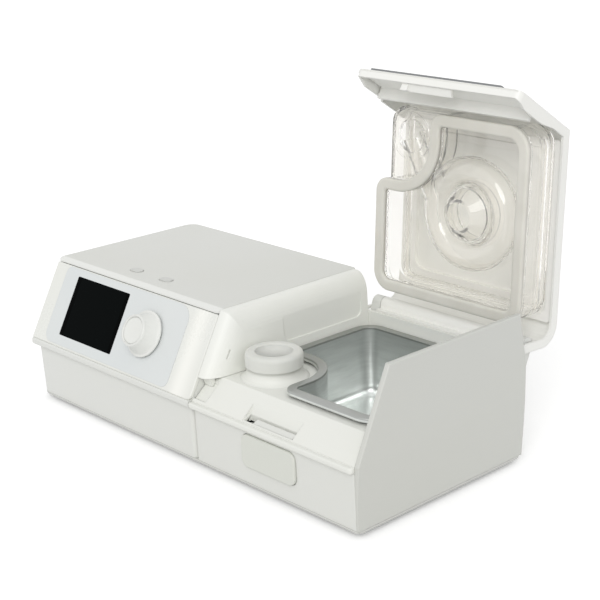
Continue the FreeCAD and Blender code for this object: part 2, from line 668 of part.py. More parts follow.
def flank_form(inset):
    """Body of the flank wall: flat strip, elliptic shoulder and wall, down the back and the slope."""
    strip = FLANK_STRIP - inset
    top = TOP_Z - inset
    steps = 10

    def shoulder(level, foot, foot_level):
        pts = [(SEAM_X + SEAM_GAP / 2 + inset, foot_level), (SEAM_X + SEAM_GAP / 2 + inset, level)]
        for i in range(steps + 1):
            a = math.pi / 2 * i / steps
            pts.append((strip + SHOULDER_X * math.sin(a), level - SHOULDER_Z * (1 - math.cos(a))))
        pts.append((foot, foot_level))
        return pts

    back = prism_y(shoulder(top, FLANK_FOOT - inset, DECK_Z), (FRONT, FLANK_REAR - inset))
    face = polygon([vec(p[0], 0, p[1]) for p in shoulder(-inset, FLANK_FOOT - inset + 2, -BODY_D)])
    slope = placed(face.extrude(vec(0, BODY_D, 0)).translated(vec(0, -20, 0)), SLOPE)
    return back.common(slope)


def flank_wall():
    """Wall between the console and the water bay."""
    solid = flank_form(0)
    room = flank_form(WALL).common(box((0, 60), (FRONT, REAR), (DECK_Z - 1, TOP_Z)))
    solid = solid.cut(room)
    foot = box((0, 60), (FRONT, REAR), (DECK_Z, DECK_Z + 0.2))
    solid = solid.cut(foot)
    toe_y = FRONT + 10.5
    toe = prism_x([(FRONT + 8.2, DECK_Z + 0.5), (toe_y, deck_height(toe_y) + 0.2 - CHANNEL_DROP),
                   (CREASE_Y - 3.2, DECK_Z - 2.0 - CHANNEL_DROP), (CREASE_Y - 3.2, DECK_Z + 0.5)],
                  (SEAM_X + SEAM_GAP / 2, FLANK_STRIP + 4.5))
    panel_top = TOP_Z - 7
    panel = box((FLANK_FOOT - 1.5, FLANK_FOOT + 3), (BOSS[1] + NOTCH_R, FLANK_REAR - 6),
                (DECK_Z + 9.5, panel_top))
    panel = soften(panel, 5.0, lambda e: edge_span(e)[0] > 3 and e.BoundBox.ZMax < panel_top - 1)
    mark = placed(box((FLANK_FOOT - 3.2, FLANK_FOOT), (30.6, 36.4), (-8.4, -7.4)), SLOPE)
    return one_solid(solid.fuse(toe).cut(panel).cut(mark))


def side_panel():
    """Flat right wall, full height, that follows the slope of the closed lid."""
    low = PAN_Z + JOINT_GAP
    front_top = FRONT + CHEEK_TOP_FRONT
    rear_top = REAR - CHEEK_TOP_REAR
    points = [(FRONT + DRAFT, low), (FRONT, LIP_Z), (front_top, CHEEK_Z), (rear_top, CHEEK_Z),
              (REAR, CHEEK_REAR_Z), (REAR, LIP_Z), (REAR - DRAFT, low)]
    wall = prism_x(points, (CHEEK_IN, RIGHT))
    wall = soften(wall, 0.8, lambda e: e.BoundBox.XMin > RIGHT - 0.01)
    wedge = prism_y([(RIGHT, LIP_Z), (RIGHT + 2, LIP_Z), (RIGHT + 2, low - 1), (RIGHT - DRAFT, low)],
                    (FRONT - 1, REAR + 1))
    return one_solid(wall.cut(wedge))


BOSS_BORE = 8.5


def air_boss():
    """Neck that carries blower air up through the deck, with a flared foot."""
    flare = []
    for i in range(9):
        a = math.pi / 2 * i / 8
        flare.append((14.8 + 8.0 * (1 - math.sin(a)), DECK_Z + 0.1 + 6.5 * (1 - math.cos(a))))
    outline = [(BOSS_BORE, DECK_Z - 6), (BOSS_BORE + 1.5, DECK_Z - 6),
               (BOSS_BORE + 1.5, DECK_Z + 0.1)] + flare
    outline += [(14.8, 68.5), (14.0, 69.3), (BOSS_BORE, 69.3)]
    beside_flank = box((FLANK_FOOT + JOINT_GAP, RIGHT), (FRONT, REAR), (0, TOP_Z))
    return one_solid(revolve(outline, BOSS).common(beside_flank))


def silicone_cap():
    """Soft cap over the neck: straight skirt, rounded rim and a dished membrane."""
    z0, z1 = CAP_Z
    outline = [(14.9, z0), (CAP_R - 0.8, z0), (CAP_R, z0 + 0.8), (CAP_R, z1 - 1.6),
               (CAP_R - 0.5, z1 - 0.5), (CAP_R - 1.6, z1), (CAP_R - 4.0, z1), (CAP_R - 5.2, z1 - 0.7),
               (CAP_R - 6.2, z1 - 1.6), (0, z1 - 1.9), (0, z1 - 2.6), (14.9, z1 - 2.6)]
    return one_solid(revolve(outline, BOSS))


def water_tub():
    """Deep-drawn metal tub with a flat rim, a turned-down edge and a rounded floor."""
    rim = tub_block(0, (TUB_RIM_Z - TUB_SKIRT, TUB_RIM_Z))
    rim = rim.cut(tub_block(1.0, (DECK_Z - 1, TUB_RIM_Z - TUB_RIM_T)))
    rim = soften(rim, 0.8, at_height(TUB_RIM_Z))
    outer = tub_block(TUB_RIM_W, (TUB_FLOOR_Z, TUB_RIM_Z - 0.2))
    outer = soften(outer, 6.0, at_height(TUB_FLOOR_Z))
    inner = tub_block(TUB_RIM_W + TUB_T, (TUB_FLOOR_Z + TUB_T, TUB_RIM_Z + 1))
    inner = soften(inner, 5.0, at_height(TUB_FLOOR_Z + TUB_T))
    return one_solid(rim.fuse(outer).cut(inner))


def heater_plate():
    return tub_block(WELL_INSET + 1.0, (11.6, TUB_FLOOR_Z - 0.1))


def heater_bed():
    return tub_block(WELL_INSET + 1.0, (PAN_Z + 0.1, 11.5))


def latch_slide():
    """Latch plate in the floor of the recess, on a leg behind the release key's flange."""
    lean = (LATCH_FOOT[1] - LIP_Z) / LATCH_FOOT[0]
    y = (FRONT + 1.4, FRONT + LATCH_FOOT[0] - BUTTON_TRAVEL - 0.4)
    leg_y = (FRONT + KEY_DEPTH + 0.2, FRONT + KEY_DEPTH + 1.7)
    web = (LATCH_WEB_Z, LATCH_WEB_Z + 1.2)
    plate = prism_x([(y[0], web[0]), (y[0], LIP_Z + 1.4 * lean), (y[1], LIP_Z + (y[1] - FRONT) * lean),
                     (y[1], web[1]), (leg_y[1], web[1]), (leg_y[1], web[0])],
                    (LATCH_X[0] + LATCH_HOLE, LATCH_X[1] - 1.0))
    leg = box((BUTTON_X[0] + 15, BUTTON_X[1] - 9), leg_y, (BUTTON_Z[0] + 4, web[0] + 0.5))
    return one_solid(plate.fuse(leg))


def release_button():
    """Raised key in the front, with a flange behind the wall."""
    face = button_outline(0, FRONT - KEY_PROUD, FRONT + 4.2)
    face = soften(face, 0.9, lambda e: e.BoundBox.YMax < FRONT - KEY_PROUD + 0.01)
    flange = button_outline(1.6, FRONT + 3.9, FRONT + KEY_DEPTH)
    return one_solid(face.fuse(flange))


def key_spring():
    """Coil spring between the release key and its seat, as a plain sleeve."""
    start = FRONT + KEY_DEPTH + 0.05
    centre = vec(BUTTON_X[0] + 4.5, start, BUTTON_Z[0] + 9)
    length = SPRING_END - 0.05 - start
    return rod(2.6, centre, length, Y_AXIS).cut(rod(1.9, centre, length, Y_AXIS))


# ---------------------------------------------------------------- lid
def lid_profile(inset, reach):
    """Side view of the closed lid's skin on the inner side of an inset.

    The points run from the flap's tip up the flap, along the top and round the
    rear radius down the rear wall; reach lengthens the ends for a cutting tool.
    """
    lean = (math.sin(LID_LEAN), math.cos(LID_LEAN))
    corner_shift = inset * (1 - math.sin(LID_LEAN)) / math.cos(LID_LEAN)
    corner = (LID_CORNER_Y + corner_shift, CHEEK_Z - inset)
    length = FLAP_LEN + reach
    tip = (corner[0] - lean[0] * length, corner[1] - lean[1] * length)
    pts = [tip, corner]
    radius = LID_REAR_R - inset
    centre = (LID_REAR - LID_REAR_R, CHEEK_Z - LID_REAR_R)
    for i in range(9):
        a = math.pi / 2 * (1 - i / 8)
        pts.append((centre[0] + radius * math.cos(a), centre[1] + radius * math.sin(a)))
    pts.append((LID_REAR - inset, LID_REAR_FOOT - reach))
    return pts


def flap_block(x, v, w):
    """Block in the closed flap's frame: v runs down from the lid's front edge as negatives."""
    return placed(box(x, v, w), FLAP)


KNUCKLE_LEFT = (24.0, 31.0)
KNUCKLE_RIGHT = (RIGHT - 13.0, RIGHT - 6.0)
PIN_REACH = 8.2           # each pin's length inside the lid's barrel
LID_BARREL = (KNUCKLE_LEFT[1] + 0.4, KNUCKLE_RIGHT[0] - 0.4)


def lid_skin(grow):
    """Bent sheet of the lid."""
    outer = prism_x(lid_profile(0, 0), LID_X)
    inner = prism_x(lid_profile(LID_SKIN, grow), (LID_X[0] - 1, LID_X[1] + 1))
    return outer.cut(inner)


def lid_shell():
    """Lid skin with side walls on the flap, hinge knuckles and clearances at the ears."""
    solid = lid_skin(3)
    tip_v = -FLAP_LEN
    wall_t = LID_WALL
    right = [(tip_v, -1), (tip_v, -FLAP_END), (tip_v + 9, -FLAP_WALL), (-26, -FLAP_WALL),
             (-3, -3.2), (-1, -1)]
    left = [(tip_v + 1, -1), (tip_v + 1, -FLAP_END), (tip_v + 9, -FLAP_WALL), (tip_v + 26, -FLAP_WALL),
            (tip_v + 27, -FLAP_WALL - 1.6), (-3, -FLAP_WALL - 1.6), (-1.5, -1)]
    for x0, points in ((LID_X[1] - wall_t, right), (FLAP_LEFT, left)):
        face = polygon([vec(x0, p[0], p[1]) for p in points])
        solid = solid.fuse(placed(face.extrude(vec(wall_t, 0, 0)), FLAP))
    end_x = (FLAP_LEFT, LID_X[1])
    solid = solid.fuse(flap_block(end_x, (tip_v, tip_v + 1.6), (-FLAP_END, -1)))
    border_x = (LID_X[1] - wall_t, LID_X[1])
    border = prism_x(lid_profile(0.5, 0), border_x).cut(
        prism_x(lid_profile(BORDER_H, 3), (border_x[0] - 1, border_x[1] + 1)))
    solid = solid.fuse(border)
    for x, inward, r in ((LID_X[0], 1, 7.0), (LID_X[1], -1, 4.0)):
        square = flap_block(sorted((x - inward, x + inward * r)), (tip_v - 1, tip_v + r), (-FLAP_WALL - 4, 3))
        disc = placed(rod(r, vec(x + inward * r, tip_v + r, -FLAP_WALL - 5), FLAP_WALL + 9), FLAP)
        solid = solid.cut(square.cut(disc))
    barrel = rod(HINGE_R, vec(LID_BARREL[0], HINGE_Y, HINGE_Z), LID_BARREL[1] - LID_BARREL[0], X_AXIS)
    web = box(LID_BARREL, (HINGE_Y, LID_REAR - 0.5), (HINGE_Z - HINGE_R, HINGE_Z + HINGE_R))
    solid = solid.fuse(barrel).fuse(web)
    for x in (KNUCKLE_LEFT, KNUCKLE_RIGHT):
        gap = box((x[0] - 0.4, x[1] + 0.4), (HINGE_Y - 8, LID_REAR + 1),
                  (LID_REAR_FOOT - 1, HINGE_Z + HINGE_R + 1.2))
        solid = solid.cut(gap)
    for x in (LID_BARREL[0] - 1, LID_BARREL[1] - PIN_REACH - 0.5):
        bore = rod(PIN_R + BORE_GAP, vec(x, HINGE_Y, HINGE_Z), PIN_REACH + 1.5, X_AXIS)
        solid = solid.cut(bore)
    return lid_opened(one_solid(solid))


def lid_trim():
    """Dark strip on the outside of the flap, near its tip."""
    x = (LID_X[0] + 11.4, LID_X[1] - 15.0)
    strip = flap_block(x, (-FLAP_LEN + 1.0, -FLAP_LEN + 13.0), (0, 1.5))
    strip = soften(strip, 0.8, lambda e: edge_span(e)[0] < 0.01 and 1.49 < e.Length < 1.51)
    return lid_opened(strip)


def lid_liner():
    """White inner frame under the lid's top, with a groove along it."""
    x = (LID_X[0] + 3.6, LID_X[1] - LID_WALL - 0.2)
    y = (LID_CORNER_Y + 6, LID_REAR - LID_REAR_R)
    z = (LINER_Z, LINER_Z + LINER_T - 0.05)
    frame = rounded_block(x, y, z, 3)
    frame = frame.cut(rounded_block((x[0] + 13, x[1] - 13), (y[0] + 10, y[1] - 13),
                                    (z[0] - 1, z[1] + 1), 8))
    groove = rounded_block((x[0] + 4.5, x[1] - 4.5), (y[0] + 4, y[1] - 4.5), (z[0] - 1, z[0] + 1.2), 5)
    groove = groove.cut(rounded_block((x[0] + 6.5, x[1] - 6.5), (y[0] + 6, y[1] - 6.5),
                                      (z[0] - 2, z[0] + 2), 4))
    return lid_opened(one_solid(frame.cut(groove)))


def flap_prism(x, points):
    """Outline of (v, w) points in the closed flap's frame, extruded between two x values."""
    face = polygon([vec(x[0], p[0], p[1]) for p in points])
    return placed(face.extrude(vec(x[1] - x[0], 0, 0)), FLAP)


def latch_tongue():
    """Cross rib inside the flap, with the tongue and the hook that enter the deck's recess."""
    tip = -FLAP_LEN
    x = (LID_X[0] + 7.5, LID_X[1] - 3.5)
    under = -LID_SKIN - 0.05
    base = flap_block(x, (tip + 1.7, tip + 24.0), (under - 1.2, under))
    rib = flap_block(x, (tip + 19.5, tip + 21.5), (-10.0, under))
    low = -TONGUE_DEPTH
    tongue = flap_prism(TONGUE_X, [(tip + 1.7, under), (tip + 1.7, -FLAP_END), (tip + 4.6, low),
                                   (tip + 6.0, low + 0.4), (tip + 4.0, -FLAP_END), (tip + 4.0, under)])
    hook_x = (TONGUE_X[0] + 0.4, LATCH_X[0] + LATCH_HOLE - 1.2)
    hook = flap_prism(hook_x, [(tip + 1.7, -FLAP_END + 1), (tip + 1.7, low - 0.6), (tip + 2.6, low - 0.4),
                               (tip + 4.4, low + 0.6), (tip + 3.6, -FLAP_END + 1)])
    return lid_opened(one_solid(base.multiFuse([rib, tongue, hook])))


def cover_block(inset, z):
    """Plan of the clear cover without the notch."""
    x = (TUB_X[0] + inset, TUB_X[1] - inset)
    y = (TUB_Y[0] + inset, TUB_Y[1] - inset)
    return rounded_block(x, y, z, max(12 - inset, 3))


def volute_form(inset):
    """Round duct that leaves the air port and winds about the funnel."""
    r = VOLUTE_R - inset
    ring = Part.makeTorus(VOLUTE_TURN, r, vec(FUNNEL[0], FUNNEL[1], VOLUTE_Z))
    start = vec(FUNNEL[0] - VOLUTE_TURN * math.cos(VOLUTE_EXIT),
                FUNNEL[1] - VOLUTE_TURN * math.sin(VOLUTE_EXIT), VOLUTE_Z)
    port = vec(BOSS[0], BOSS[1], VOLUTE_Z)
    return ring.fuse(rod(r, port, (start - port).Length, start - port))


def chamber_cover():
    """Clear moulding over the tub: skirt, port plate, round winding duct and funnel."""
    t = COVER_WALL
    z0, z1 = COVER_FOOT + 1.9, COVER_TOP
    solid = tub_block(1.0, (z0, z1)).fuse(cover_block(1.0, (PORT_PLATE_Z, z1)))
    solid = soften(solid, 2.5, at_height(z1))
    room = tub_block(1.0 + t, (z0 - 1, z1 - t))
    port_room = cover_block(1.0 + t, (PORT_PLATE_Z + t, z1 - t)).cut(tub_block(1.0, (z0 - 2, z1 + 1)))
    solid = solid.cut(room).cut(port_room)
    foot = tub_block(0.4, (z0, z0 + 1.6)).cut(tub_block(GASKET_W + 0.6, (z0 - 1, z0 + 3)))
    solid = solid.fuse(foot)
    port = rod(15.0, vec(BOSS[0], BOSS[1], PORT_PLATE_Z - 0.6), 3)
    solid = solid.fuse(port)
    solid = solid.cut(rod(10.5, vec(BOSS[0], BOSS[1], PORT_PLATE_Z - 3), t + 4))
    funnel = revolve([(8.6, 66.0), (10.4, 66.0), (FUNNEL_R, 73.0), (FUNNEL_R, z1 - 1),
                      (FUNNEL_R - t, z1 - 1), (FUNNEL_R - t, 74.0)], FUNNEL)
    volute = volute_form(0).cut(volute_form(VOLUTE_WALL))
    port_side = cover_block(2.0, (PORT_PLATE_Z + 0.5, z1)).cut(tub_block(2.0, (z0 - 2, z1 + 1)))
    seat = (z1 - 1, LINER_Z - JOINT_GAP)
    rim = cover_block(SEAT_IN, seat).cut(cover_block(SEAT_IN + t, (seat[0] - 1, seat[1] + 1)))
    flange = rounded_block((TUB_X[0] + 4, TUB_X[1] + 1.0), (TUB_Y[0] + 4, TUB_Y[1] - 4),
                           (76.6, 78.2), 10)
    flange = flange.cut(tub_block(2.0, (70, 90))).cut(cover_block(2.0, (70, 90)))
    inside = tub_block(2.0, (z0 - 2, z1))
    parts = [funnel.common(inside), volute.common(inside)] + volute.common(port_side).Solids
    solid = solid.multiFuse(parts + [rim] + [s for s in flange.Solids if s.Volume > 5])
    lid_room = prism_x(lid_profile(LID_SKIN + 0.8, 3), (LID_X[0], LID_X[1]))
    return lid_opened(one_solid(solid.common(lid_room)))


def chamber_gasket():
    """Soft seal that follows the tub's rim."""
    z = (TUB_RIM_Z + 0.5, COVER_FOOT + 1.8)
    ring = tub_block(0.3, z).cut(tub_block(GASKET_W + 0.3, (z[0] - 1, z[1] + 1)))
    ring = soften(ring, 0.7, at_height(z[0]))
    return lid_opened(one_solid(ring))


def hinge_bracket():
    """Pair of ears behind the rear wall that hold the hinge pins."""
    ears = []
    for x in (KNUCKLE_LEFT, KNUCKLE_RIGHT):
        barrel = rod(HINGE_R, vec(x[0], HINGE_Y, HINGE_Z), x[1] - x[0], X_AXIS)
        arm = prism_x([(REAR + 0.05, 46.0), (REAR + 0.05, 61.5), (HINGE_Y - 4.2, HINGE_Z + 1.5),
                       (HINGE_Y + 4.2, HINGE_Z - 1.5), (REAR + 4, 50.0)], x)
        ear = barrel.fuse(arm)
        bore = rod(PIN_R + BORE_GAP, vec(x[0] - 1, HINGE_Y, HINGE_Z), 10, X_AXIS)
        ears.append(one_solid(ear.cut(bore)))
    return Part.Compound(ears)


def hinge_pins():
    pins = []
    left = (KNUCKLE_LEFT[0] + 0.4, LID_BARREL[0] + PIN_REACH)
    right = (LID_BARREL[1] - PIN_REACH, KNUCKLE_RIGHT[1] - 0.4)
    for x in (left, right):
        pins.append(rod(PIN_R, vec(x[0], HINGE_Y, HINGE_Z), x[1] - x[0], X_AXIS))
    return Part.Compound(pins)


# ---------------------------------------------------------------- air path and electronics
def blower_form(inset, z):
    """Fan housing with its tangential outlet towards the humidifier."""
    drum = rod(BLOWER_R - inset, vec(BLOWER[0], BLOWER[1], z[0]), z[1] - z[0])
    y = (BLOWER[1] - BLOWER_R + inset, BLOWER[1] - BLOWER_R + 19.0 - inset)
    return drum.fuse(box((BLOWER[0], -12.0 + inset), y, z))


def blower_base():
    """Lower half of the fan housing, with the motor pocket and the outlet."""
    z = (BLOWER_Z[0], 34.0)
    cup = blower_form(0, z).cut(blower_form(2, (z[0] + 2, z[1] + 1)))
    outlet = rod(DUCT_R - 1.5, vec(-20, BOSS[1], DUCT_Z), 12, X_AXIS)
    pocket = rod(13.0, vec(BLOWER[0], BLOWER[1], z[0]), 6).cut(
        rod(11.2, vec(BLOWER[0], BLOWER[1], z[0] + 2), 6))
    return one_solid(cup.fuse(pocket).cut(outlet))


def blower_cover():
    """Upper half of the fan housing, with the round inlet."""
    z = (34.1, BLOWER_Z[1])
    cap = blower_form(0, z).cut(blower_form(2, (z[0] - 1, z[1] - 2)))
    collar = rod(18, vec(BLOWER[0], BLOWER[1], z[1] - 1), 4)
    hole = rod(15, vec(BLOWER[0], BLOWER[1], z[0]), 25)
    return one_solid(cap.fuse(collar).cut(hole))


def blower_motor():
    """Motor can with its shaft."""
    can = rod(11.0, vec(BLOWER[0], BLOWER[1], BLOWER_Z[0] + 2.1), 14)
    shaft = rod(1.5, vec(BLOWER[0], BLOWER[1], BLOWER_Z[0] + 10), 16)
    return one_solid(can.fuse(shaft))


BLADES = 13


def impeller():
    """Backplate, hub and swept blades."""
    low = BLOWER_Z[0] + 18
    plate = rod(36, vec(0, 0, low), 1.4)
    hub = revolve([(0, low), (9, low), (7.5, low + 6), (5, low + 9), (0, low + 9)], (0, 0))
    blade = box((6, 35.4), (-0.6, 0.6), (low + 1, low + 10))
    parts = [hub]
    for i in range(BLADES):
        turned = blade.copy()
        turned.rotate(vec(8, 0, 0), Z_AXIS, -24)
        turned.rotate(vec(0, 0, 0), Z_AXIS, 360 * i / BLADES)
        parts.append(turned)
    wheel = plate.multiFuse(parts)
    wheel = wheel.common(rod(36, vec(0, 0, low - 1), 20))
    wheel = wheel.cut(rod(1.5 + BORE_GAP, vec(0, 0, low - 1), 9.2))
    wheel.translate(vec(BLOWER[0], BLOWER[1], 0))
    return one_solid(wheel)


def blower_mount():
    """Rubber ring between the fan housing and the base pan."""
    z = (PAN_Z + 0.1, BLOWER_Z[0] - 0.1)
    ring = rod(30, vec(BLOWER[0], BLOWER[1], z[0]), z[1] - z[0])
    return ring.cut(rod(20, vec(BLOWER[0], BLOWER[1], z[0] - 1), 20))


def air_duct():
    """Round duct from the fan outlet, under the deck and up into the boss."""
    bend = 14.0

    def pipe(r):
        run = rod(r, vec(-11.8, BOSS[1], DUCT_Z), BOSS[0] - bend + 11.8, X_AXIS)
        elbow_face = Part.Face(Part.Wire(Part.makeCircle(r, vec(BOSS[0] - bend, BOSS[1], DUCT_Z), X_AXIS)))
        elbow = elbow_face.revolve(vec(BOSS[0] - bend, BOSS[1], DUCT_Z + bend), Y_AXIS, -90)
        rise = rod(r, vec(BOSS[0], BOSS[1], DUCT_Z + bend), DECK_Z - 6.2 - DUCT_Z - bend)
        return run.fuse(elbow).fuse(rise)

    return one_solid(pipe(DUCT_R).cut(pipe(DUCT_R - 1.5)))


def inlet_muffler():
    """Foam block between the filter and the fan inlet."""
    x = (LEFT + WALL + 3, BLOWER[0] - BLOWER_R - 2.5)
    top = FILTER_Z[1] - 12
    block = rounded_block(x, (FRONT + 34, REAR - 20), (PAN_Z + JOINT_GAP, top), 6)
    return soften(block, 2, at_height(top))


def air_filter():
    return box((FILTER_X[0] + 0.6, FILTER_X[1] - 0.6), (REAR - 9, REAR - WALL - 0.2),
               (FILTER_Z[0] + 0.6, FILTER_Z[1] - 0.6))


def filter_cover():
    """Cover in the rear wall, with slots that let air in and a thumb tab."""
    x = (FILTER_X[0] + RUN_GAP, FILTER_X[1] - RUN_GAP)
    z = (FILTER_Z[0] + RUN_GAP, FILTER_Z[1] - RUN_GAP)
    plate = box(x, (REAR - WALL, REAR + 0.6), z)
    plate = plate.fuse(box((x[0] + 17, x[1] - 17), (REAR, REAR + 2.4), (z[1] - 3.4, z[1] - 1.6)))
    slots = 9
    pitch = (x[1] - x[0] - 6) / slots
    for i in range(slots):
        left = x[0] + 3 + pitch * (i + 0.25)
        plate = plate.cut(box((left, left + pitch / 2), (REAR - 4, REAR + 1), (z[0] + 4, z[1] - 6)))
    return one_solid(plate)


def dc_inlet():
    """Round power socket with a centre pin."""
    body = rod(INLET_R, vec(INLET_X, REAR - 12, INLET_Z), 12.4, Y_AXIS)
    flange = box((INLET_X - 8, INLET_X + 8), (REAR - WALL - 1.6, REAR - WALL - 0.1),
                 (INLET_Z - 7, INLET_Z + 7))
    socket = rod(3.4, vec(INLET_X, REAR - 9, INLET_Z), 12, Y_AXIS)
    pin = rod(1.0, vec(INLET_X, REAR - 10, INLET_Z), 9.5, Y_AXIS)
    return one_solid(body.fuse(flange).cut(socket).fuse(pin))


def air_outlet():
    """Hose connector at the rear of the humidifier."""
    start = REAR - 5
    tube = rod(OUTLET_R, vec(OUTLET_X, start, OUTLET_Z), 5 + OUTLET_LEN, Y_AXIS)
    tube = soften(tube, 0.8, lambda e: e.BoundBox.YMin > REAR + OUTLET_LEN - 0.01)
    flange = rod(OUTLET_R + 3, vec(OUTLET_X, REAR + 0.05, OUTLET_Z), 1.6, Y_AXIS)
    bore = rod(OUTLET_R - 1.8, vec(OUTLET_X, start - 1, OUTLET_Z), 8 + OUTLET_LEN, Y_AXIS)
    return one_solid(tube.fuse(flange).cut(bore))


BOARD_W = 99.3
CHIPS = [(55.3, 0.0, (16, 16), 2.0), (23.3, 20.0, (12, 20), 9.0), (79.3, 30.0, (12, 20), 6.0)]


def main_board():
    """Control board under the top plate, with its larger components."""
    z = BOARD_Z
    right = SEAM_X - 3.3
    board = box((right - BOARD_W, right), (KEY_Y, REAR - WALL - 0.1), (z, z + 1.6))
    for offset, y, size, height in CHIPS:
        chip = box((right - offset - size[0], right - offset), (y, y + size[1]), (z + 1.5, z + 1.6 + height))
        board = board.fuse(chip)
    return one_solid(board)


NODES = {
    "base_pan": base_pan, "feet": feet, "base_screws": base_screws,
    "console_base": console_base, "humidifier_base": humidifier_base,
    "console_shell": console_shell, "top_cover": top_cover, "front_panel": front_panel,
    "panel_overlay": panel_overlay, "display_lens": display_lens, "display_module": display_module,
    "knob": knob, "knob_insert": knob_insert, "encoder_shaft": encoder_shaft,
    "encoder_body": encoder_body, "power_button": lambda: top_key(KEY_X[0]),
    "ramp_button": lambda: top_key(KEY_X[1]), "key_board": key_board,
    "humidifier_housing": humidifier_housing, "flank_wall": flank_wall, "side_panel": side_panel,
    "air_boss": air_boss, "silicone_cap": silicone_cap, "water_tub": water_tub,
    "heater_plate": heater_plate, "heater_bed": heater_bed, "latch_slide": latch_slide,
    "release_button": release_button, "key_spring": key_spring,
    "lid_shell": lid_shell, "lid_trim": lid_trim, "lid_liner": lid_liner,
    "latch_tongue": latch_tongue, "chamber_cover": chamber_cover,
    "chamber_gasket": chamber_gasket,
    "hinge_bracket": hinge_bracket, "hinge_pins": hinge_pins,
    "blower_base": blower_base, "blower_cover": blower_cover, "blower_motor": blower_motor,
    "impeller": impeller, "blower_mount": blower_mount, "air_duct": air_duct,
    "inlet_muffler": inlet_muffler, "air_filter": air_filter, "filter_cover": filter_cover,
    "dc_inlet": dc_inlet, "air_outlet": air_outlet, "main_board": main_board,
}


def main():
    os.makedirs("parts", exist_ok=True)
    for name, make in NODES.items():
        shape = make()
        if not shape.isValid():
            print("INVALID", name)
        shape.exportStep("parts/" + name + ".step")
        b = shape.BoundBox
        print("%-20s solids %d  volume %9.0f  x %.1f..%.1f y %.1f..%.1f z %.1f..%.1f" % (
            name, len(shape.Solids), shape.Volume, b.XMin, b.XMax, b.YMin, b.YMax, b.ZMin, b.ZMax))


main()
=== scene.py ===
# %% [markdown]
# # A CPAP machine with its humidifier lid open
# This lesson dresses a packed CAD model. The CAD model already holds every
# rigid part at its real size, in metres, so the work here is the looks: light,
# a camera, a finish for each part, and the few pieces that a solid modeller
# leaves plain. The first cell loads the model as a fixed frame.

# %% Load the frame
import json
import math

import bmesh
import bpy
import numpy as np
from mathutils import Matrix


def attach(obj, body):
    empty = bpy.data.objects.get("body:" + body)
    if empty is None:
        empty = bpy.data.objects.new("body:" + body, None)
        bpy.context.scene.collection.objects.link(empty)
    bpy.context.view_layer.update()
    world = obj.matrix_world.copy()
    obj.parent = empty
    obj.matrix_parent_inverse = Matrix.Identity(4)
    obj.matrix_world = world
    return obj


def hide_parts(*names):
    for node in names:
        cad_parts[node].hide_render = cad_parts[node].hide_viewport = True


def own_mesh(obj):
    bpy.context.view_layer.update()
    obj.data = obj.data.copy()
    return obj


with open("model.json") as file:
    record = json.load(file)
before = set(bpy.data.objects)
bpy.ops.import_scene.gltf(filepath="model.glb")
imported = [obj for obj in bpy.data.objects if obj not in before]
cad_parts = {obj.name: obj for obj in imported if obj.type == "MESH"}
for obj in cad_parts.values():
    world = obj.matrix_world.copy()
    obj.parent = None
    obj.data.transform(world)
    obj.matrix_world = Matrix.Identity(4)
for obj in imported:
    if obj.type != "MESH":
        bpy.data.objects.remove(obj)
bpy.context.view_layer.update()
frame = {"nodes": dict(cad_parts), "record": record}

parts = frame["nodes"]

# %% [markdown]
# ## The camera
# The machine is seen from its front right, a little above the lid's hinge. A
# camera could be aimed by a Track To constraint, but here its directions (right,
# up and back) are worked out, so that it can be rolled a little and moved along
# each of them. Two angles give the direction it looks back along, a third rolls
# it, and its place is a walk from the origin sideways, up and back.

# %% Camera
VIEW_AZIMUTH = math.radians(47.045)
VIEW_ELEVATION = math.radians(18.202)
VIEW_ROLL = math.radians(-1.445)
VIEW_SIDE = 0.02181
VIEW_RISE = 0.08061
VIEW_DISTANCE = 0.89893
FOCAL_PIXELS = 1411.33
FRAME_PIXELS = 600
SENSOR_MM = 36.0
SEEN_BETWEEN = (0.05, 50)


def camera_axes(azimuth, elevation, roll):
    """Right, up and back directions: back from the two angles, then a turn about it."""
    back = np.array([math.sin(azimuth) * math.cos(elevation),
                     -math.cos(azimuth) * math.cos(elevation), math.sin(elevation)])
    side = np.cross([0.0, 0.0, 1.0], back)
    side /= np.linalg.norm(side)
    rise = np.cross(back, side)
    right = math.cos(roll) * side + math.sin(roll) * rise
    up = -math.sin(roll) * side + math.cos(roll) * rise
    return right, up, back


right, up, back = camera_axes(VIEW_AZIMUTH, VIEW_ELEVATION, VIEW_ROLL)
place = VIEW_SIDE * right + VIEW_RISE * up + VIEW_DISTANCE * back
lens = bpy.data.cameras.new("camera")
lens.sensor_width = SENSOR_MM
lens.lens = FOCAL_PIXELS * SENSOR_MM / FRAME_PIXELS
lens.clip_start, lens.clip_end = SEEN_BETWEEN
camera = bpy.data.objects.new("camera", lens)
matrix = np.eye(4)
matrix[:3, :4] = np.column_stack([right, up, back, place])
camera.matrix_world = Matrix(matrix.tolist())
bpy.context.scene.collection.objects.link(camera)
bpy.context.scene.camera = camera
print("lens", round(lens.lens, 1), "mm, camera at", np.round(place, 3))

# %% [markdown]
# ## The sky
# A white product on white needs light that is nearly even and yet gives each
# side its own tone. Several area lamps could do it, but each would leave its own
# patch in the metal and in the clear cover, so a plain white sky lights
# everything. Camera, mirror and glass rays see it at strength 1, which is white,
# while the light that it sends to surfaces is weaker, to leave room for a sun.

# %% Sky
SKY = 0.74
SEEN_WHITE = 1.0

scene = bpy.context.scene
scene.view_settings.view_transform = "Standard"


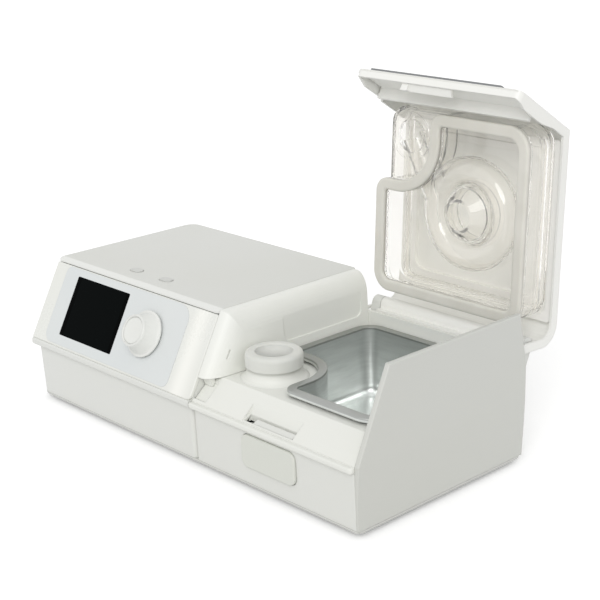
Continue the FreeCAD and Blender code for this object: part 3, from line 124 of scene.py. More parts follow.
def seen_directly(tree):
    """Socket that is 1 for camera, mirror and glass rays: the largest of the three flags."""
    path = tree.nodes.new("ShaderNodeLightPath")
    largest = path.outputs["Is Camera Ray"]
    for flag in ("Is Glossy Ray", "Is Transmission Ray"):
        joined = tree.nodes.new("ShaderNodeMath")
        joined.operation = "MAXIMUM"
        tree.links.new(largest, joined.inputs[0])
        tree.links.new(path.outputs[flag], joined.inputs[1])
        largest = joined.outputs[0]
    return largest


world = bpy.data.worlds.new("studio")
world.use_nodes = True
scene.world = world
tree = world.node_tree
sky = tree.nodes["Background"]
sky.inputs["Color"].default_value = (1, 1, 1, 1)
level = tree.nodes.new("ShaderNodeMapRange")
level.inputs["To Min"].default_value = SKY
level.inputs["To Max"].default_value = SEEN_WHITE
tree.links.new(seen_directly(tree), level.inputs["Value"])
tree.links.new(level.outputs["Result"], sky.inputs["Strength"])
print("sky", SKY, "seen as", SEEN_WHITE)

# %% [markdown]
# ## The sun
# One broad sun from the front right gives the shape. A sun was chosen and not a
# lamp at a place, because its light falls alike on the whole machine. With the
# sky it comes to about one unit of light on a face, so a colour renders about as
# it is written. A lamp shines along its own minus z, so its z axis points to
# where the light comes from, and two directions across it make the other axes.

# %% Sun
KEY_FROM = (0.50, -0.64, 0.58)
KEY_POWER = 1.10
KEY_WIDTH = math.radians(35)

lamp = bpy.data.lights.new("key", "SUN")
lamp.energy = KEY_POWER
lamp.angle = KEY_WIDTH
key = bpy.data.objects.new("key", lamp)
aim = np.array(KEY_FROM) / np.linalg.norm(KEY_FROM)
side = np.cross([0.0, 1.0, 0.0], aim)
side /= np.linalg.norm(side)
turned = np.eye(4)
turned[:3, :3] = np.column_stack([side, np.cross(aim, side), aim])
key.matrix_world = Matrix(turned.tolist())
scene.collection.objects.link(key)
print("sun of power", KEY_POWER, "from", np.round(aim, 2))

# %% [markdown]
# ## The floor
# The floor is one large plane of paper. A shadow catcher could stand for it, but
# it is empty where no shadow falls, and white would have to be laid behind it.
# The paper is white for the camera, with a little glow, and pale grey for the
# light that it sends back up, so that the lower faces aren't lit too much.

# %% Floor
FLOOR_HALF = 12.0
PAPER_TONE = 0.80
PAPER_GLOW = 0.16

corners = np.array([(-1, -1, 0), (1, -1, 0), (1, 1, 0), (-1, 1, 0)]) * FLOOR_HALF
ground = bpy.data.meshes.new("floor")
ground.from_pydata(corners.tolist(), [], [(0, 1, 2, 3)])
floor = bpy.data.objects.new("floor", ground)
scene.collection.objects.link(floor)

paper = bpy.data.materials.new("paper")
paper.use_nodes = True
tree = paper.node_tree
shader = tree.nodes["Principled BSDF"]
for label, value in (("Roughness", 1.0), ("Specular IOR Level", 0.0), ("Emission Strength", 1.0)):
    shader.inputs[label].default_value = value
flag = seen_directly(tree)
for label, tone, tone_seen in (("Base Color", PAPER_TONE, 1.0),
                               ("Emission Color", 0.0, PAPER_GLOW)):
    choice = tree.nodes.new("ShaderNodeMix")
    choice.data_type = "RGBA"
    ends = [socket for socket in choice.inputs if socket.type == "RGBA"]
    for end, grey in zip(ends, (tone, tone_seen)):
        end.default_value = (grey, grey, grey, 1)
    tree.links.new(flag, choice.inputs["Factor"])
    result = [socket for socket in choice.outputs if socket.type == "RGBA"][0]
    tree.links.new(result, shader.inputs[label])
ground.materials.append(paper)
print("floor", 2 * FLOOR_HALF, "m across")

# %% [markdown]
# ## Shader maths in plain Python
# A finish varies over a surface by arithmetic on patterns: a mask times a
# shade, one minus a mask, and so on. Laying Math nodes by hand hides that
# arithmetic. The small class below wraps a socket, so that an ordinary Python
# expression lays the nodes.

# %% A wire
class Wire:
    """A number on its way through a shader. Arithmetic on it adds the Math node that does it."""

    def __init__(self, finish, socket):
        self.finish = finish
        self.socket = socket

    def maths(self, operation, *values):
        """The Math node of that name on these values."""
        return self.finish.node("ShaderNodeMath", {"operation": operation}, *values)

    def __add__(self, other):
        return self.maths("ADD", self, other)

    def __sub__(self, other):
        return self.maths("SUBTRACT", self, other)

    def __rsub__(self, other):
        return self.maths("SUBTRACT", other, self)

    def __mul__(self, other):
        return self.maths("MULTIPLY", self, other)

    __radd__ = __add__
    __rmul__ = __mul__

    def smooth(self, low, high):
        """0 below low, 1 above high, and an S-curve between them."""
        return self.finish.node("ShaderNodeMapRange", {"interpolation_type": "SMOOTHSTEP"},
                                self, low, high, 0.0, 1.0)

    def bounded(self):
        """Kept between 0 and 1."""
        return self.finish.node("ShaderNodeClamp", {}, self, 0.0, 1.0)


print("a wire knows", ", ".join(n for n in vars(Wire) if not n.startswith("_")))

# %% [markdown]
# ## Screen colours
# Colours are easiest to read off a screen, in 0 to 255, while a shader works in
# linear light, in which twice the number is twice the light. The standard curve
# between the two is a shifted power of 2.4, with a straight foot near black.

# %% Screen colours
def linear(red, green, blue):
    """Screen colour in 0 to 255 as linear light: the standard curve, undone channel by channel."""
    c = np.array([red, green, blue]) / 255.0
    foot = c / 12.92
    power = ((c + 0.055) / 1.055) ** 2.4
    return tuple(np.where(c <= 0.04045, foot, power).tolist())


print("middle grey 128 is", round(linear(128, 128, 128)[0], 3), "of full light")

# %% [markdown]
# ## A finish
# A finish is one material. It lays nodes by their type, settings and values,
# and knows the few patterns that plastics and metals share: place, clouds,
# streaks, edges and relief. A pattern's scale is in features to the metre. A
# noise stays near its middle, so it is stretched between two levels, its span,
# to fill 0 to 1. Colours go through a Mix node, because a Math node would turn
# them grey. The rounded edges come from a Bevel node: where its normals turn
# away from the flat ones there is an edge, and that is the mask.

# %% A finish
EDGE_SAMPLES = 6
EDGE_TURN = (0.02, 0.25)
NOISE_SPAN = (0.3, 0.7)
finishes = {}


class Finish:
    """One material: constants go on the shader's sockets, and wires carry what varies."""

    def __init__(self, name, **constants):
        self.name = name
        self.material = bpy.data.materials.new(name)
        self.material.use_nodes = True
        self.tree = self.material.node_tree
        self.shader = self.tree.nodes["Principled BSDF"]
        for label, value in constants.items():
            socket = self.shader.inputs[label.replace("_", " ")]
            if socket.type == "RGBA":
                value = (*value, 1)
            socket.default_value = value

    def node(self, kind, settings, *values, output=0, **named):
        """Adds a node: settings first, then the values or wires of its sockets."""
        node = self.tree.nodes.new(kind)
        for key, value in settings.items():
            setattr(node, key, value)
        pairs = list(zip(node.inputs, values)) + [(node.inputs[k], v) for k, v in named.items()]
        for socket, value in pairs:
            if isinstance(value, Wire):
                self.tree.links.new(value.socket, socket)
            else:
                socket.default_value = value
        return Wire(self, node.outputs[output])

    def place(self):
        """Object coordinates, in metres, which no pose and no camera changes."""
        return self.node("ShaderNodeTexCoord", {}, output="Object")

    def noise(self, scale, detail=3.0, roughness=0.5, at=None):
        """Cloudy pattern from 0 to 1, scale features to the metre."""
        return self.node("ShaderNodeTexNoise", {}, Vector=at or self.place(), Scale=scale,
                         Detail=detail, Roughness=roughness)

    def stretched(self, x, y, z):
        """Object coordinates multiplied along each axis, for streaks and brushing."""
        return self.node("ShaderNodeMapping", {}, Vector=self.place(), Scale=(x, y, z))

    def mix(self, factor, first, second):
        """A colour between two colours."""
        mixed = self.tree.nodes.new("ShaderNodeMix")
        mixed.data_type = "RGBA"
        ends = [s for s in mixed.inputs if s.type == "RGBA"]
        self.tree.links.new(factor.socket, mixed.inputs["Factor"])
        for socket, value in zip(ends, (first, second)):
            if isinstance(value, Wire):
                self.tree.links.new(value.socket, socket)
            else:
                socket.default_value = (*value, 1)
        return Wire(self, [s for s in mixed.outputs if s.type == "RGBA"][0])

    def edges(self, radius):
        """Normals rounded over each edge, and a mask that is 1 there: how far they turned."""
        rounded = self.node("ShaderNodeBevel", {"samples": EDGE_SAMPLES}, Radius=radius)
        flat = self.node("ShaderNodeNewGeometry", {}, output="Normal")
        agree = self.node("ShaderNodeVectorMath", {"operation": "DOT_PRODUCT"}, rounded, flat,
                          output="Value")
        return rounded, (1.0 - agree).smooth(*EDGE_TURN)

    def relief(self, height, depth, under=None):
        """A bump of that depth in metres, over the normals given."""
        wires = {"Height": height, "Distance": depth, "Strength": 1.0}
        if under is not None:
            wires["Normal"] = under
        return self.node("ShaderNodeBump", {}, **wires)

    def lets_light_through(self, tint):
        """A mere tint for shadow and diffuse rays, so that light reaches what lies behind."""
        path = self.tree.nodes.new("ShaderNodeLightPath")
        shadow, diffuse = (Wire(self, path.outputs[flag])
                           for flag in ("Is Shadow Ray", "Is Diffuse Ray"))
        either = shadow.maths("MAXIMUM", shadow, diffuse)
        window = self.tree.nodes.new("ShaderNodeBsdfTransparent")
        window.inputs["Color"].default_value = (*tint, 1)
        switch = self.tree.nodes.new("ShaderNodeMixShader")
        self.tree.links.new(either.socket, switch.inputs[0])
        self.tree.links.new(self.shader.outputs[0], switch.inputs[1])
        self.tree.links.new(window.outputs[0], switch.inputs[2])
        out = self.tree.nodes["Material Output"]
        self.tree.links.new(switch.outputs[0], out.inputs["Surface"])

    def give(self, **wires):
        """Links wires to the shader's sockets."""
        for label, wire in wires.items():
            self.tree.links.new(wire.socket, self.shader.inputs[label.replace("_", " ")])

    def keep(self):
        """Files the material under its name, for the loop that dresses the parts."""
        finishes[self.name] = self.material


print("a finish knows", ", ".join(n for n in vars(Finish) if not n.startswith("_")))

# %% [markdown]
# ## White mouldings
# Most of the machine is injection-moulded plastic. Up close such plastic is
# never one flat colour: its tone drifts slightly, the mould leaves a very fine
# grain, and handled edges polish and lighten. Pictures could carry all this, but
# every part would need unwrapping first, and patterns on Object coordinates need
# none. One function makes the family, and each part asks for its tone and gloss.

# %% White mouldings
CLOUDS = 9
SPECKS = 420
SPECK_SPAN = (0.45, 0.75)
GRAIN = 2600
RIM_LIGHTER = 1.05
RIM_SHARE = 0.55
DRIFT_ROUGHER = 0.05
SPECK_ROUGHER = 0.035
RIM_SMOOTHER = 0.06


def moulded(name, colour, gloss, grain=0.00003, edge=0.0006, warmth=(1.0, 0.997, 0.985)):
    """Moulded plastic: colour times a slow drift, lighter rims, and a fine grain as bump."""
    finish = Finish(name, IOR=1.49)
    drift = finish.noise(CLOUDS, detail=4.0).smooth(*NOISE_SPAN)
    fine = finish.noise(GRAIN, detail=2.0)
    specks = finish.noise(SPECKS, detail=5.0, roughness=0.7).smooth(*SPECK_SPAN)
    normals, rim = finish.edges(edge)
    warm = tuple(c * w for c, w in zip(colour, warmth))
    light = tuple(min(1.0, c * RIM_LIGHTER) for c in colour)
    finish.tone = finish.mix((rim * RIM_SHARE).bounded(), finish.mix(drift, colour, warm), light)
    finish.give(Base_Color=finish.tone,
                Roughness=(gloss + drift * DRIFT_ROUGHER + specks * SPECK_ROUGHER
                           - rim * RIM_SMOOTHER).bounded(),
                Normal=finish.relief(fine, grain, normals))
    finish.keep()
    return finish


# Painted light: the flank's white is a lighter copy of the shell's, painted light on the bay's
# wall; the side panel's white is a darker copy, painted shade on a face turned from the light; the
# liner's white is a lighter copy, painted light behind the clear cover.
for name, screen_colour, gloss in (
        ("shell_white", (222, 223, 219), 0.42), ("base_grey", (206, 207, 203), 0.50),
        ("deck_white", (230, 231, 226), 0.42), ("flank_white", (236, 237, 232), 0.40),
        ("panel_white", (206, 207, 202), 0.38), ("lid_white", (240, 240, 236), 0.33),
        ("liner_white", (248, 247, 243), 0.36), ("impeller_white", (214, 214, 206), 0.35)):
    moulded(name, linear(*screen_colour), gloss)
moulded("knob_white", linear(227, 228, 224), 0.36, edge=0.0009)
moulded("key_white", linear(215, 217, 210), 0.40, edge=0.0009)
moulded("trim_grey", linear(126, 128, 129), 0.30, warmth=(1.0, 1.0, 1.01))
moulded("dark_plastic", linear(44, 46, 48), 0.45, warmth=(0.9, 0.92, 0.95))
print(len(finishes), "moulded finishes")

# %% [markdown]
# ## Three mouldings with painted highlights and shade
# The top cover is painted lighter along its bevelled front edge, and the sloped
# plate along a strip beside the humidifier, where the plastic bulges a little:
# both are painted highlights, for light that the tilted plastic catches. Faces
# of their own with a second material would end in hard lines, so both are soft
# bands across one coordinate. The two small keys are painted dark round their
# rims, a painted shade in the gaps where they sink into the cover, so there the
# mask of the edges picks the tone.

# %% Cover, sloped plate and small keys
COVER_BEVEL_Y = (-0.0429, -0.0419)
BAND_LEFT_X = (-0.0085, 0.001)
BAND_RIGHT_X = (0.001, 0.0135)
KEY_RIM = 0.0011

cover = moulded("cover_white", linear(215, 216, 211), 0.36)
cover_y = cover.node("ShaderNodeSeparateXYZ", {}, cover.place(), output="Y")
# Painted highlight: the cover's bevelled front edge is painted a lighter tone, for light on the
# tilted face.
bevel_highlight = 1.0 - cover_y.smooth(*COVER_BEVEL_Y)
cover.give(Base_Color=cover.mix(bevel_highlight, cover.tone, linear(230, 231, 227)))

bezel = moulded("bezel_white", linear(229, 230, 225), 0.26, grain=0.000003)
bezel_x = bezel.node("ShaderNodeSeparateXYZ", {}, bezel.place(), output="X")
# Painted highlight: a soft strip of the plate is painted lighter where the plastic bulges.
bulge_highlight = bezel_x.smooth(*BAND_LEFT_X) * (1.0 - bezel_x.smooth(*BAND_RIGHT_X))
bezel.give(Base_Color=bezel.mix(bulge_highlight, bezel.tone, linear(243, 243, 237)))

small_key = moulded("console_key", linear(204, 205, 201), 0.34, edge=0.0005)
# Painted shade: the keys are painted dark round their rims, for the shade in the gaps to the
# cover.
key_gap_shade = small_key.edges(KEY_RIM)[1]
small_key.give(Base_Color=small_key.mix(key_gap_shade, small_key.tone, linear(146, 147, 145)))
print("bevel, band and key rims added")

# %% [markdown]
# ## Membrane and display
# The sloped plate carries a thin printed film, cool white with a satin face
# and a very faint orange-peel. The display behind its window is off, so it is
# nearly black, with a slightly lighter picture area inside a darker border. The
# window could be clear with the display behind it, but black glass over a black
# panel looks the same as one dark surface with a weak reflection.

# %% Membrane and display
FILM_CLOUDS = 14
FILM_SPAN = (0.25, 0.75)
FILM_ROUGHNESS = 0.32
FILM_ROUGHER = 0.06
FILM_EDGE = 0.0003
PEEL = 900
PEEL_DEPTH = 0.00001
SMEARS = 60
SMEAR_SPAN = (0.5, 0.8)
GLASS_ROUGHNESS = 0.05
SMEAR_ROUGHER = 0.06
SCREEN_MIDDLE_X = -0.096
PICTURE_HALF = 0.0245
BORDER_SOFT = 0.0006

film = Finish("overlay_blue", IOR=1.5)
drift = film.noise(FILM_CLOUDS, detail=3.0).smooth(*FILM_SPAN)
peel = film.noise(PEEL, detail=1.0)
film.give(Base_Color=film.mix(drift, linear(219, 222, 221), linear(215, 219, 219)),
          Roughness=(FILM_ROUGHNESS + drift * FILM_ROUGHER).bounded(),
          Normal=film.relief(peel, PEEL_DEPTH, film.edges(FILM_EDGE)[0]))
film.keep()

glass = Finish("lens_black", IOR=1.52, Specular_IOR_Level=0.015)
glass_x = glass.node("ShaderNodeSeparateXYZ", {}, glass.place(), output="X")
from_middle = glass_x - SCREEN_MIDDLE_X
border = from_middle.maths("ABSOLUTE", from_middle).smooth(PICTURE_HALF - BORDER_SOFT,
                                                           PICTURE_HALF)
smear = glass.noise(SMEARS, detail=6.0, roughness=0.65).smooth(*SMEAR_SPAN)
glass.give(Base_Color=glass.mix(border, linear(6, 9, 9), linear(2, 3, 3)),
           Roughness=(GLASS_ROUGHNESS + smear * SMEAR_ROUGHER).bounded())
glass.keep()
print("membrane and display done")

# %% [markdown]
# ## Soft and clear parts
# The cap on the neck and the seal of the chamber are frosted silicone: light
# enters, scatters and comes out milky, so the surface has no hard highlight.
# The cover over the water is clear plastic with a slightly warm cast and faint
# flow marks from moulding. It could simply be made half transparent, but then
# its bent walls and duct would be lost, so it refracts. Only shadow and diffuse
# rays take a short cut straight through it, which saves the light behind it.

# %% Silicone and clear plastic
MILK_CLOUDS = 45
MILK_GRAIN = 1500
MILK_GRAIN_DEPTH = 0.00003
MILK_EDGE = 0.0008
MILK_RIM = 0.4
MILK_LIGHT = linear(238, 237, 231)
MILK_ROUGHNESS = 0.48
MILK_ROUGHER = 0.1
VEIL = (0.998, 0.996, 0.990)
FLOW_STRETCH = (30, 30, 110)
FLOW_SPAN = (0.35, 0.75)
CLEAR_ROUGHNESS = 0.02
FLOW_ROUGHER = 0.04


def frosted(name, colour, cloudy):
    """Milky silicone: two near tones in soft clouds, light carried a little way inside."""
    milk = Finish(name, IOR=1.41, Subsurface_Weight=0.2, Subsurface_Scale=0.002,
                  Subsurface_Radius=(1.0, 0.95, 0.85), Sheen_Weight=0.15)
    cloud = milk.noise(MILK_CLOUDS, detail=4.0).smooth(*NOISE_SPAN)
    normals, rim = milk.edges(MILK_EDGE)
    tone = milk.mix((rim * MILK_RIM).bounded(), milk.mix(cloud, colour, cloudy), MILK_LIGHT)
    grain = milk.noise(MILK_GRAIN, detail=2.0)
    milk.give(Base_Color=tone, Roughness=(MILK_ROUGHNESS + cloud * MILK_ROUGHER).bounded(),
              Normal=milk.relief(grain, MILK_GRAIN_DEPTH, normals))
    milk.keep()


frosted("frosted_silicone", linear(221, 219, 211), linear(214, 212, 203))
frosted("cap_silicone", linear(220, 221, 216), linear(214, 215, 209))

clear = Finish("clear_plastic", IOR=1.46, Transmission_Weight=0.90)
clear.lets_light_through(VEIL)
flow = clear.noise(1.0, detail=3.0, at=clear.stretched(*FLOW_STRETCH)).smooth(*FLOW_SPAN)
clear.give(Base_Color=clear.mix(flow, (0.996, 0.986, 0.962), (0.992, 0.980, 0.950)),
           Roughness=(CLEAR_ROUGHNESS + flow * FLOW_ROUGHER).bounded())
clear.keep()
print("soft and clear finishes done")

# %% [markdown]
# ## Metals
# The tub is pressed from sheet and satin-finished, so it shows fine streaks
# along the pressing and a soft blurred reflection. Its flange is painted darker:
# a painted reflection of darker surroundings, which the even white sky doesn't
# give. The heater plate is brushed, and pins and screws are plated steel. The
# shader's Anisotropic value would only stretch reflections, while a noise that
# is finer across than along draws the streaks themselves.
# One function makes them all, each with streaks of its own.

# %% Metals
FLANGE_DARK_REFLECTION_Z = (0.0588, 0.0596)
STREAK_DARKER = 0.86
EDGE_BRIGHTER = 1.15
EDGE_SHARE = 0.5
METAL_EDGE = 0.0005
POOLS = 28
STREAK_SPAN = (0.3, 0.75)
STREAK_ROUGHER = 0.14
POOL_ROUGHER = 0.05


def metal(name, colour, gloss, streaks, dents=0.00004):
    """Metal: noise with its own scale on each axis varies colour, roughness and a bump."""
    finish = Finish(name, Metallic=1.0)
    brush = finish.noise(1.0, detail=5.0, roughness=0.6, at=finish.stretched(*streaks))
    pools = finish.noise(POOLS, detail=3.0).smooth(*NOISE_SPAN)
    normals, rim = finish.edges(METAL_EDGE)
    dark = tuple(c * STREAK_DARKER for c in colour)
    bright = tuple(min(1.0, c * EDGE_BRIGHTER) for c in colour)
    streaked = finish.mix(brush.smooth(*STREAK_SPAN), colour, dark)
    finish.tone = finish.mix((rim * EDGE_SHARE).bounded(), streaked, bright)
    finish.give(Base_Color=finish.tone,
                Roughness=(gloss + brush * STREAK_ROUGHER + pools * POOL_ROUGHER).bounded(),
                Normal=finish.relief(brush, dents, normals))
    finish.keep()
    return finish


tub = metal("tub_metal", linear(225, 228, 226), 0.27, (40, 40, 260), 0.00001)
# Painted reflection: above its foot the flange is painted darker, for darker surroundings that it
# would reflect.
tub_z = tub.node("ShaderNodeSeparateXYZ", {}, tub.place(), output="Z")
tub.give(Base_Color=tub.mix(tub_z.smooth(*FLANGE_DARK_REFLECTION_Z), tub.tone, linear(174, 176, 173)))
metal("heater_aluminium", linear(190, 192, 194), 0.30, (900, 60, 60))
metal("steel", linear(188, 189, 190), 0.28, (1200, 1200, 90))
metal("motor_steel", linear(168, 170, 172), 0.35, (90, 90, 1500))
print("four metals done")

# %% [markdown]
# ## Rubber, foam and circuit board
# The feet are rubber with a fine fleck. The filter is open-cell foam: thin
# walls round small cells. As a mesh they would take millions of faces, while a
# cell pattern gives them by its distance to the nearest wall; the hollows of the
# cells are painted dark, a painted shade inside the pores. The boards carry
# copper under a green lacquer, and a brick pattern lays its tracks.

# %% Rubber, foam and circuit board
FLECKS = 800
FLECK_DEPTH = 0.0001
RUBBER_ROUGHNESS = 0.7
FLECK_ROUGHER = 0.15
RUBBER_EDGE = 0.0005
CELLS = 700.0
CELL_WALL = (0.0, 0.25)
CELL_DEPTH = 0.0006
FOAM_ROUGHNESS = 0.85
CELL_ROUGHER = 0.1
TRACKS = 140.0
TRACK_DEPTH = 0.00004
HAZE = 300
BOARD_ROUGHNESS = 0.35
HAZE_ROUGHER = 0.1

rubber = Finish("rubber", IOR=1.5)
fleck = rubber.noise(FLECKS, detail=3.0)
flecked = rubber.mix(fleck.smooth(*NOISE_SPAN), linear(58, 58, 59), linear(74, 74, 75))
rubber.give(Base_Color=flecked, Roughness=(RUBBER_ROUGHNESS + fleck * FLECK_ROUGHER).bounded(),
            Normal=rubber.relief(fleck, FLECK_DEPTH, rubber.edges(RUBBER_EDGE)[0]))
rubber.keep()

foam = Finish("foam", IOR=1.4, Sheen_Weight=0.2)
cell_hollows = foam.node("ShaderNodeTexVoronoi", {"feature": "DISTANCE_TO_EDGE"}, Vector=foam.place(),
                  Scale=CELLS, output="Distance").smooth(*CELL_WALL)
# Painted shade: the hollows of the cells are painted dark grey, for the shade inside the pores.
foam.give(Base_Color=foam.mix(cell_hollows, linear(196, 198, 196), linear(122, 126, 126)),
          Roughness=(FOAM_ROUGHNESS + cell_hollows * CELL_ROUGHER).bounded(),
          Normal=foam.relief(1.0 - cell_hollows, CELL_DEPTH))
foam.keep()

board = Finish("circuit_board", IOR=1.5, Coat_Weight=0.4, Coat_Roughness=0.15)
tracks = board.node("ShaderNodeTexBrick", {"offset": 0.5}, Vector=board.place(),
                    Scale=TRACKS, output="Fac")
board.give(Base_Color=board.mix(tracks, linear(24, 92, 62), linear(58, 128, 84)),
           Roughness=(BOARD_ROUGHNESS + board.noise(HAZE) * HAZE_ROUGHER).bounded(),
           Normal=board.relief(tracks, TRACK_DEPTH))
board.keep()
print(len(finishes), "finishes in all")

# %% [markdown]
# ## Surfaces from arrays
# The soft parts of the machine are not hard solids, so they are made here as
# fine surfaces. They could be cut from primitives with modifiers, but a formula
# keeps each measure in the open. Each piece is a grid of points, and one helper
# turns any grid into a mesh that rides on one of the model's bodies.

# %% A skin over a grid
MM = 0.001
SAME_POINT = 1e-6


def surface(name, grid, finish, body):
    """A closed skin over a grid of points in millimetres, rows by columns.

    Face (i, j) joins points (i, j), (i, j+1), (i+1, j+1) and (i+1, j). The last
    column meets the first, and points that fall together, as at a pole, become one.
    """
    rows, columns = grid.shape[:2]
    number = np.arange(rows * columns).reshape(rows, columns)
    around = np.roll(number, -1, axis=1)
    faces = np.stack([number[:-1], around[:-1], around[1:], number[1:]], axis=-1).reshape(-1, 4)
    skin = bmesh.new()
    mesh = bpy.data.meshes.new(name)
    mesh.from_pydata((grid.reshape(-1, 3) * MM).tolist(), [], faces.tolist())
    skin.from_mesh(mesh)
    bmesh.ops.remove_doubles(skin, verts=skin.verts, dist=SAME_POINT)
    bmesh.ops.recalc_face_normals(skin, faces=skin.faces)
    skin.to_mesh(mesh)
    skin.free()
    mesh.polygons.foreach_set("use_smooth", np.ones(len(mesh.polygons), bool))
    mesh.materials.append(finishes[finish])
    piece = bpy.data.objects.new(name, mesh)
    scene.collection.objects.link(piece)
    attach(piece, body)
    print(name, len(mesh.polygons), "faces, rides on", body)
    return piece


unit = np.array([[(0, 0, 0), (1, 0, 0), (0, 1, 0)], [(0, 0, 1), (1, 0, 1), (0, 1, 1)]])
print("a grid of", unit.shape[:2], "points makes", (unit.shape[0] - 1) * unit.shape[1], "faces")

# %% [markdown]
# ## Soft outlines and a lathe
# Moulded pieces have no sharp corners. A Bevel modifier rounds all of them
# alike, unless each edge is given a weight. So one helper replaces each corner
# of an outline by a curve of its own radius, and another turns an outline about
# an upright axis, which makes any round piece.

# %% Soft outlines and a lathe
def softened(corners, radii, steps=8):
    """An outline with soft corners: near corner c the curve is (1-t)^2 a + 2t(1-t) c + t^2 b.

    Here a and b lie on the two sides of the corner, at its radius from it.
    """
    c = np.array(corners, float)
    r = np.array(radii, float)[:, None]
    before = np.roll(c, 1, axis=0) - c
    after = np.roll(c, -1, axis=0) - c
    a = c + r * before / np.linalg.norm(before, axis=1, keepdims=True)
    b = c + r * after / np.linalg.norm(after, axis=1, keepdims=True)
    t = np.linspace(0, 1, steps)[None, :, None]
    curve = (1 - t) ** 2 * a[:, None] + 2 * t * (1 - t) * c[:, None] + t ** 2 * b[:, None]
    return curve.reshape(-1, 2)


def lathe(outline, centre, turns=120):
    """The outline (radius r, height z) turned about a vertical axis: (r cos a, r sin a, z)."""
    angle = np.linspace(0, 2 * math.pi, turns, endpoint=False)
    r, z = outline[:, :1], outline[:, 1:]
    return np.stack([centre[0] + r * np.cos(angle), centre[1] + r * np.sin(angle),
                     z + 0 * angle], axis=-1)


trial = softened([(0, 0), (1, 0), (1, 1)], [0.1, 0.1, 0.1])
print("a triangle with soft corners has", len(trial), "points")

# %% [markdown]
# ## The neck in the deck
# Blower air comes up through a neck in the deck. A cylinder joined to the deck
# would meet it in a sharp line, while the real foot flows into it, so a lathe
# turns the foot as a quarter of an ellipse. On the console's side the neck is
# flat against the wall, and there points past the wall are simply moved to it.

# %% Neck
BOSS = (45.4, -31.5)
DECK_Z = 56.0
SUNK = 0.05
NECK_R = 16.6
NECK_TOP_Z = 62.9
SPIGOT_R = 14.6
SPIGOT_TOP_Z = 69.3
BORE_R = 8.5
ROOT_R, ROOT_Z = 10.0, 50.0
FLARE = (4.6, 4.2)
FLARE_STEPS = 16
NECK_SOFT = (0.4, 0.3, 0.8, 0.5)
FLANK_X = 27.75

sweep = np.linspace(0, math.pi / 2, FLARE_STEPS)
flare = np.column_stack([NECK_R + FLARE[0] * (1 - np.sin(sweep)),
                         DECK_Z - SUNK + FLARE[1] * (1 - np.cos(sweep))])
shoulder = softened([(NECK_R, NECK_TOP_Z), (SPIGOT_R, NECK_TOP_Z),
                     (SPIGOT_R, SPIGOT_TOP_Z), (BORE_R, SPIGOT_TOP_Z)], NECK_SOFT)
neck_outline = np.vstack([[(BORE_R, ROOT_Z), (ROOT_R, ROOT_Z), (ROOT_R, DECK_Z - SUNK)], flare,
                          shoulder, [(BORE_R, ROOT_Z)]])
neck_grid = lathe(neck_outline, BOSS)
neck_grid[..., 0] = np.maximum(neck_grid[..., 0], FLANK_X)
neck = surface("air_neck", neck_grid, "deck_white", "housing")
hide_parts("air_boss")

# %% [markdown]
# ## The cap on the neck
# A frosted cap sits on the neck: a short skirt, a generously rounded shoulder
# and a top that dishes in a little, as thin rubber does when it has been pushed
# on. Sculpting could give the dish, but it is round, so it is a lathe's work
# too, with an inner side that clears the neck.

# %% Cap
CAP_R = 17.3
CAP_Z = (63.0, 72.0)
CAP_BORE_R = 14.9
CAP_ROOF = 2.6
CAP_LEAD_IN = 0.3
CAP_SOFT = (0.3, 0.7, 3.2, 1.0, 1.0)
DISH = ((12.9, 0.0), (10.8, 0.22), (0.0, 0.34))

z0, z1 = CAP_Z
(rim_r, rim_drop), (slope_r, slope_drop), (middle_r, middle_drop) = DISH
cap_outline = softened([(CAP_BORE_R, z0), (CAP_R, z0), (CAP_R, z1), (rim_r, z1 - rim_drop),
                        (slope_r, z1 - slope_drop)], CAP_SOFT)
inner_side = [(middle_r, z1 - middle_drop), (0.0, z1 - CAP_ROOF), (CAP_BORE_R, z1 - CAP_ROOF),
              (CAP_BORE_R, z0 + CAP_LEAD_IN)]
cap = surface("soft_cap", lathe(np.vstack([cap_outline, inner_side]), BOSS), "cap_silicone",
              "housing")
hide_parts("silicone_cap")

# %% [markdown]
# ## The seal of the chamber
# The seal under the clear cover follows the tub's rim, with its round notch. A
# profile carried along a curve would bunch up at the two small corners, which
# are hardly rounder than the seal is wide, so the plan is drawn anew for each
# line of the seal. It is a polygon of six square corners, each rounded by an
# arc, and one formula in two numbers, how far in and where along, gives it all.

# %% Plan of the seal
TUB_X = (28.4, 145.0)
TUB_Y = (-50.2, 66.2)
NOTCH_R = 25.4
SMALL_CORNER, FRONT_CORNER, REAR_CORNER = 9, 15, 13
SHARPEST = 2.5


def tub_plan(inset, steps=22):
    """The tub's plan drawn inset further in, as rings of (x, y) points.

    A corner c between unit directions d (in) and e (out) with radius r becomes the
    arc c - r d + r e + r (d sin t - e cos t), for t from 0 to a quarter turn.
    """
    i = np.asarray(inset, float)[:, None]
    notch = NOTCH_R + i
    x0, x1 = TUB_X[0] + i, TUB_X[1] - i
    y0, y1 = TUB_Y[0] + i, TUB_Y[1] - i
    nx, ny = BOSS[0] + notch, BOSS[1] + notch
    corner_x = np.hstack([nx, x1, x1, x0, x0, nx])
    corner_y = np.hstack([y0, y0, y1, y1, ny, ny])
    outer = np.array([SMALL_CORNER, FRONT_CORNER, REAR_CORNER, REAR_CORNER, SMALL_CORNER])
    radius = np.maximum(np.hstack([outer - i, notch]), SHARPEST)
    c = np.stack([corner_x, corner_y], axis=-1)
    e = np.roll(c, -1, axis=1) - c
    e = e / np.linalg.norm(e, axis=-1, keepdims=True)
    d = np.roll(e, 1, axis=1)
    c, d, e, r = c[:, :, None], d[:, :, None], e[:, :, None], radius[:, :, None, None]
    t = np.linspace(0, math.pi / 2, steps)[None, None, :, None]
    arcs = c - r * d + r * e + r * (d * np.sin(t) - e * np.cos(t))
    return arcs.reshape(len(i), -1, 2)


print("the plan has", tub_plan([0.0]).shape[1], "points")

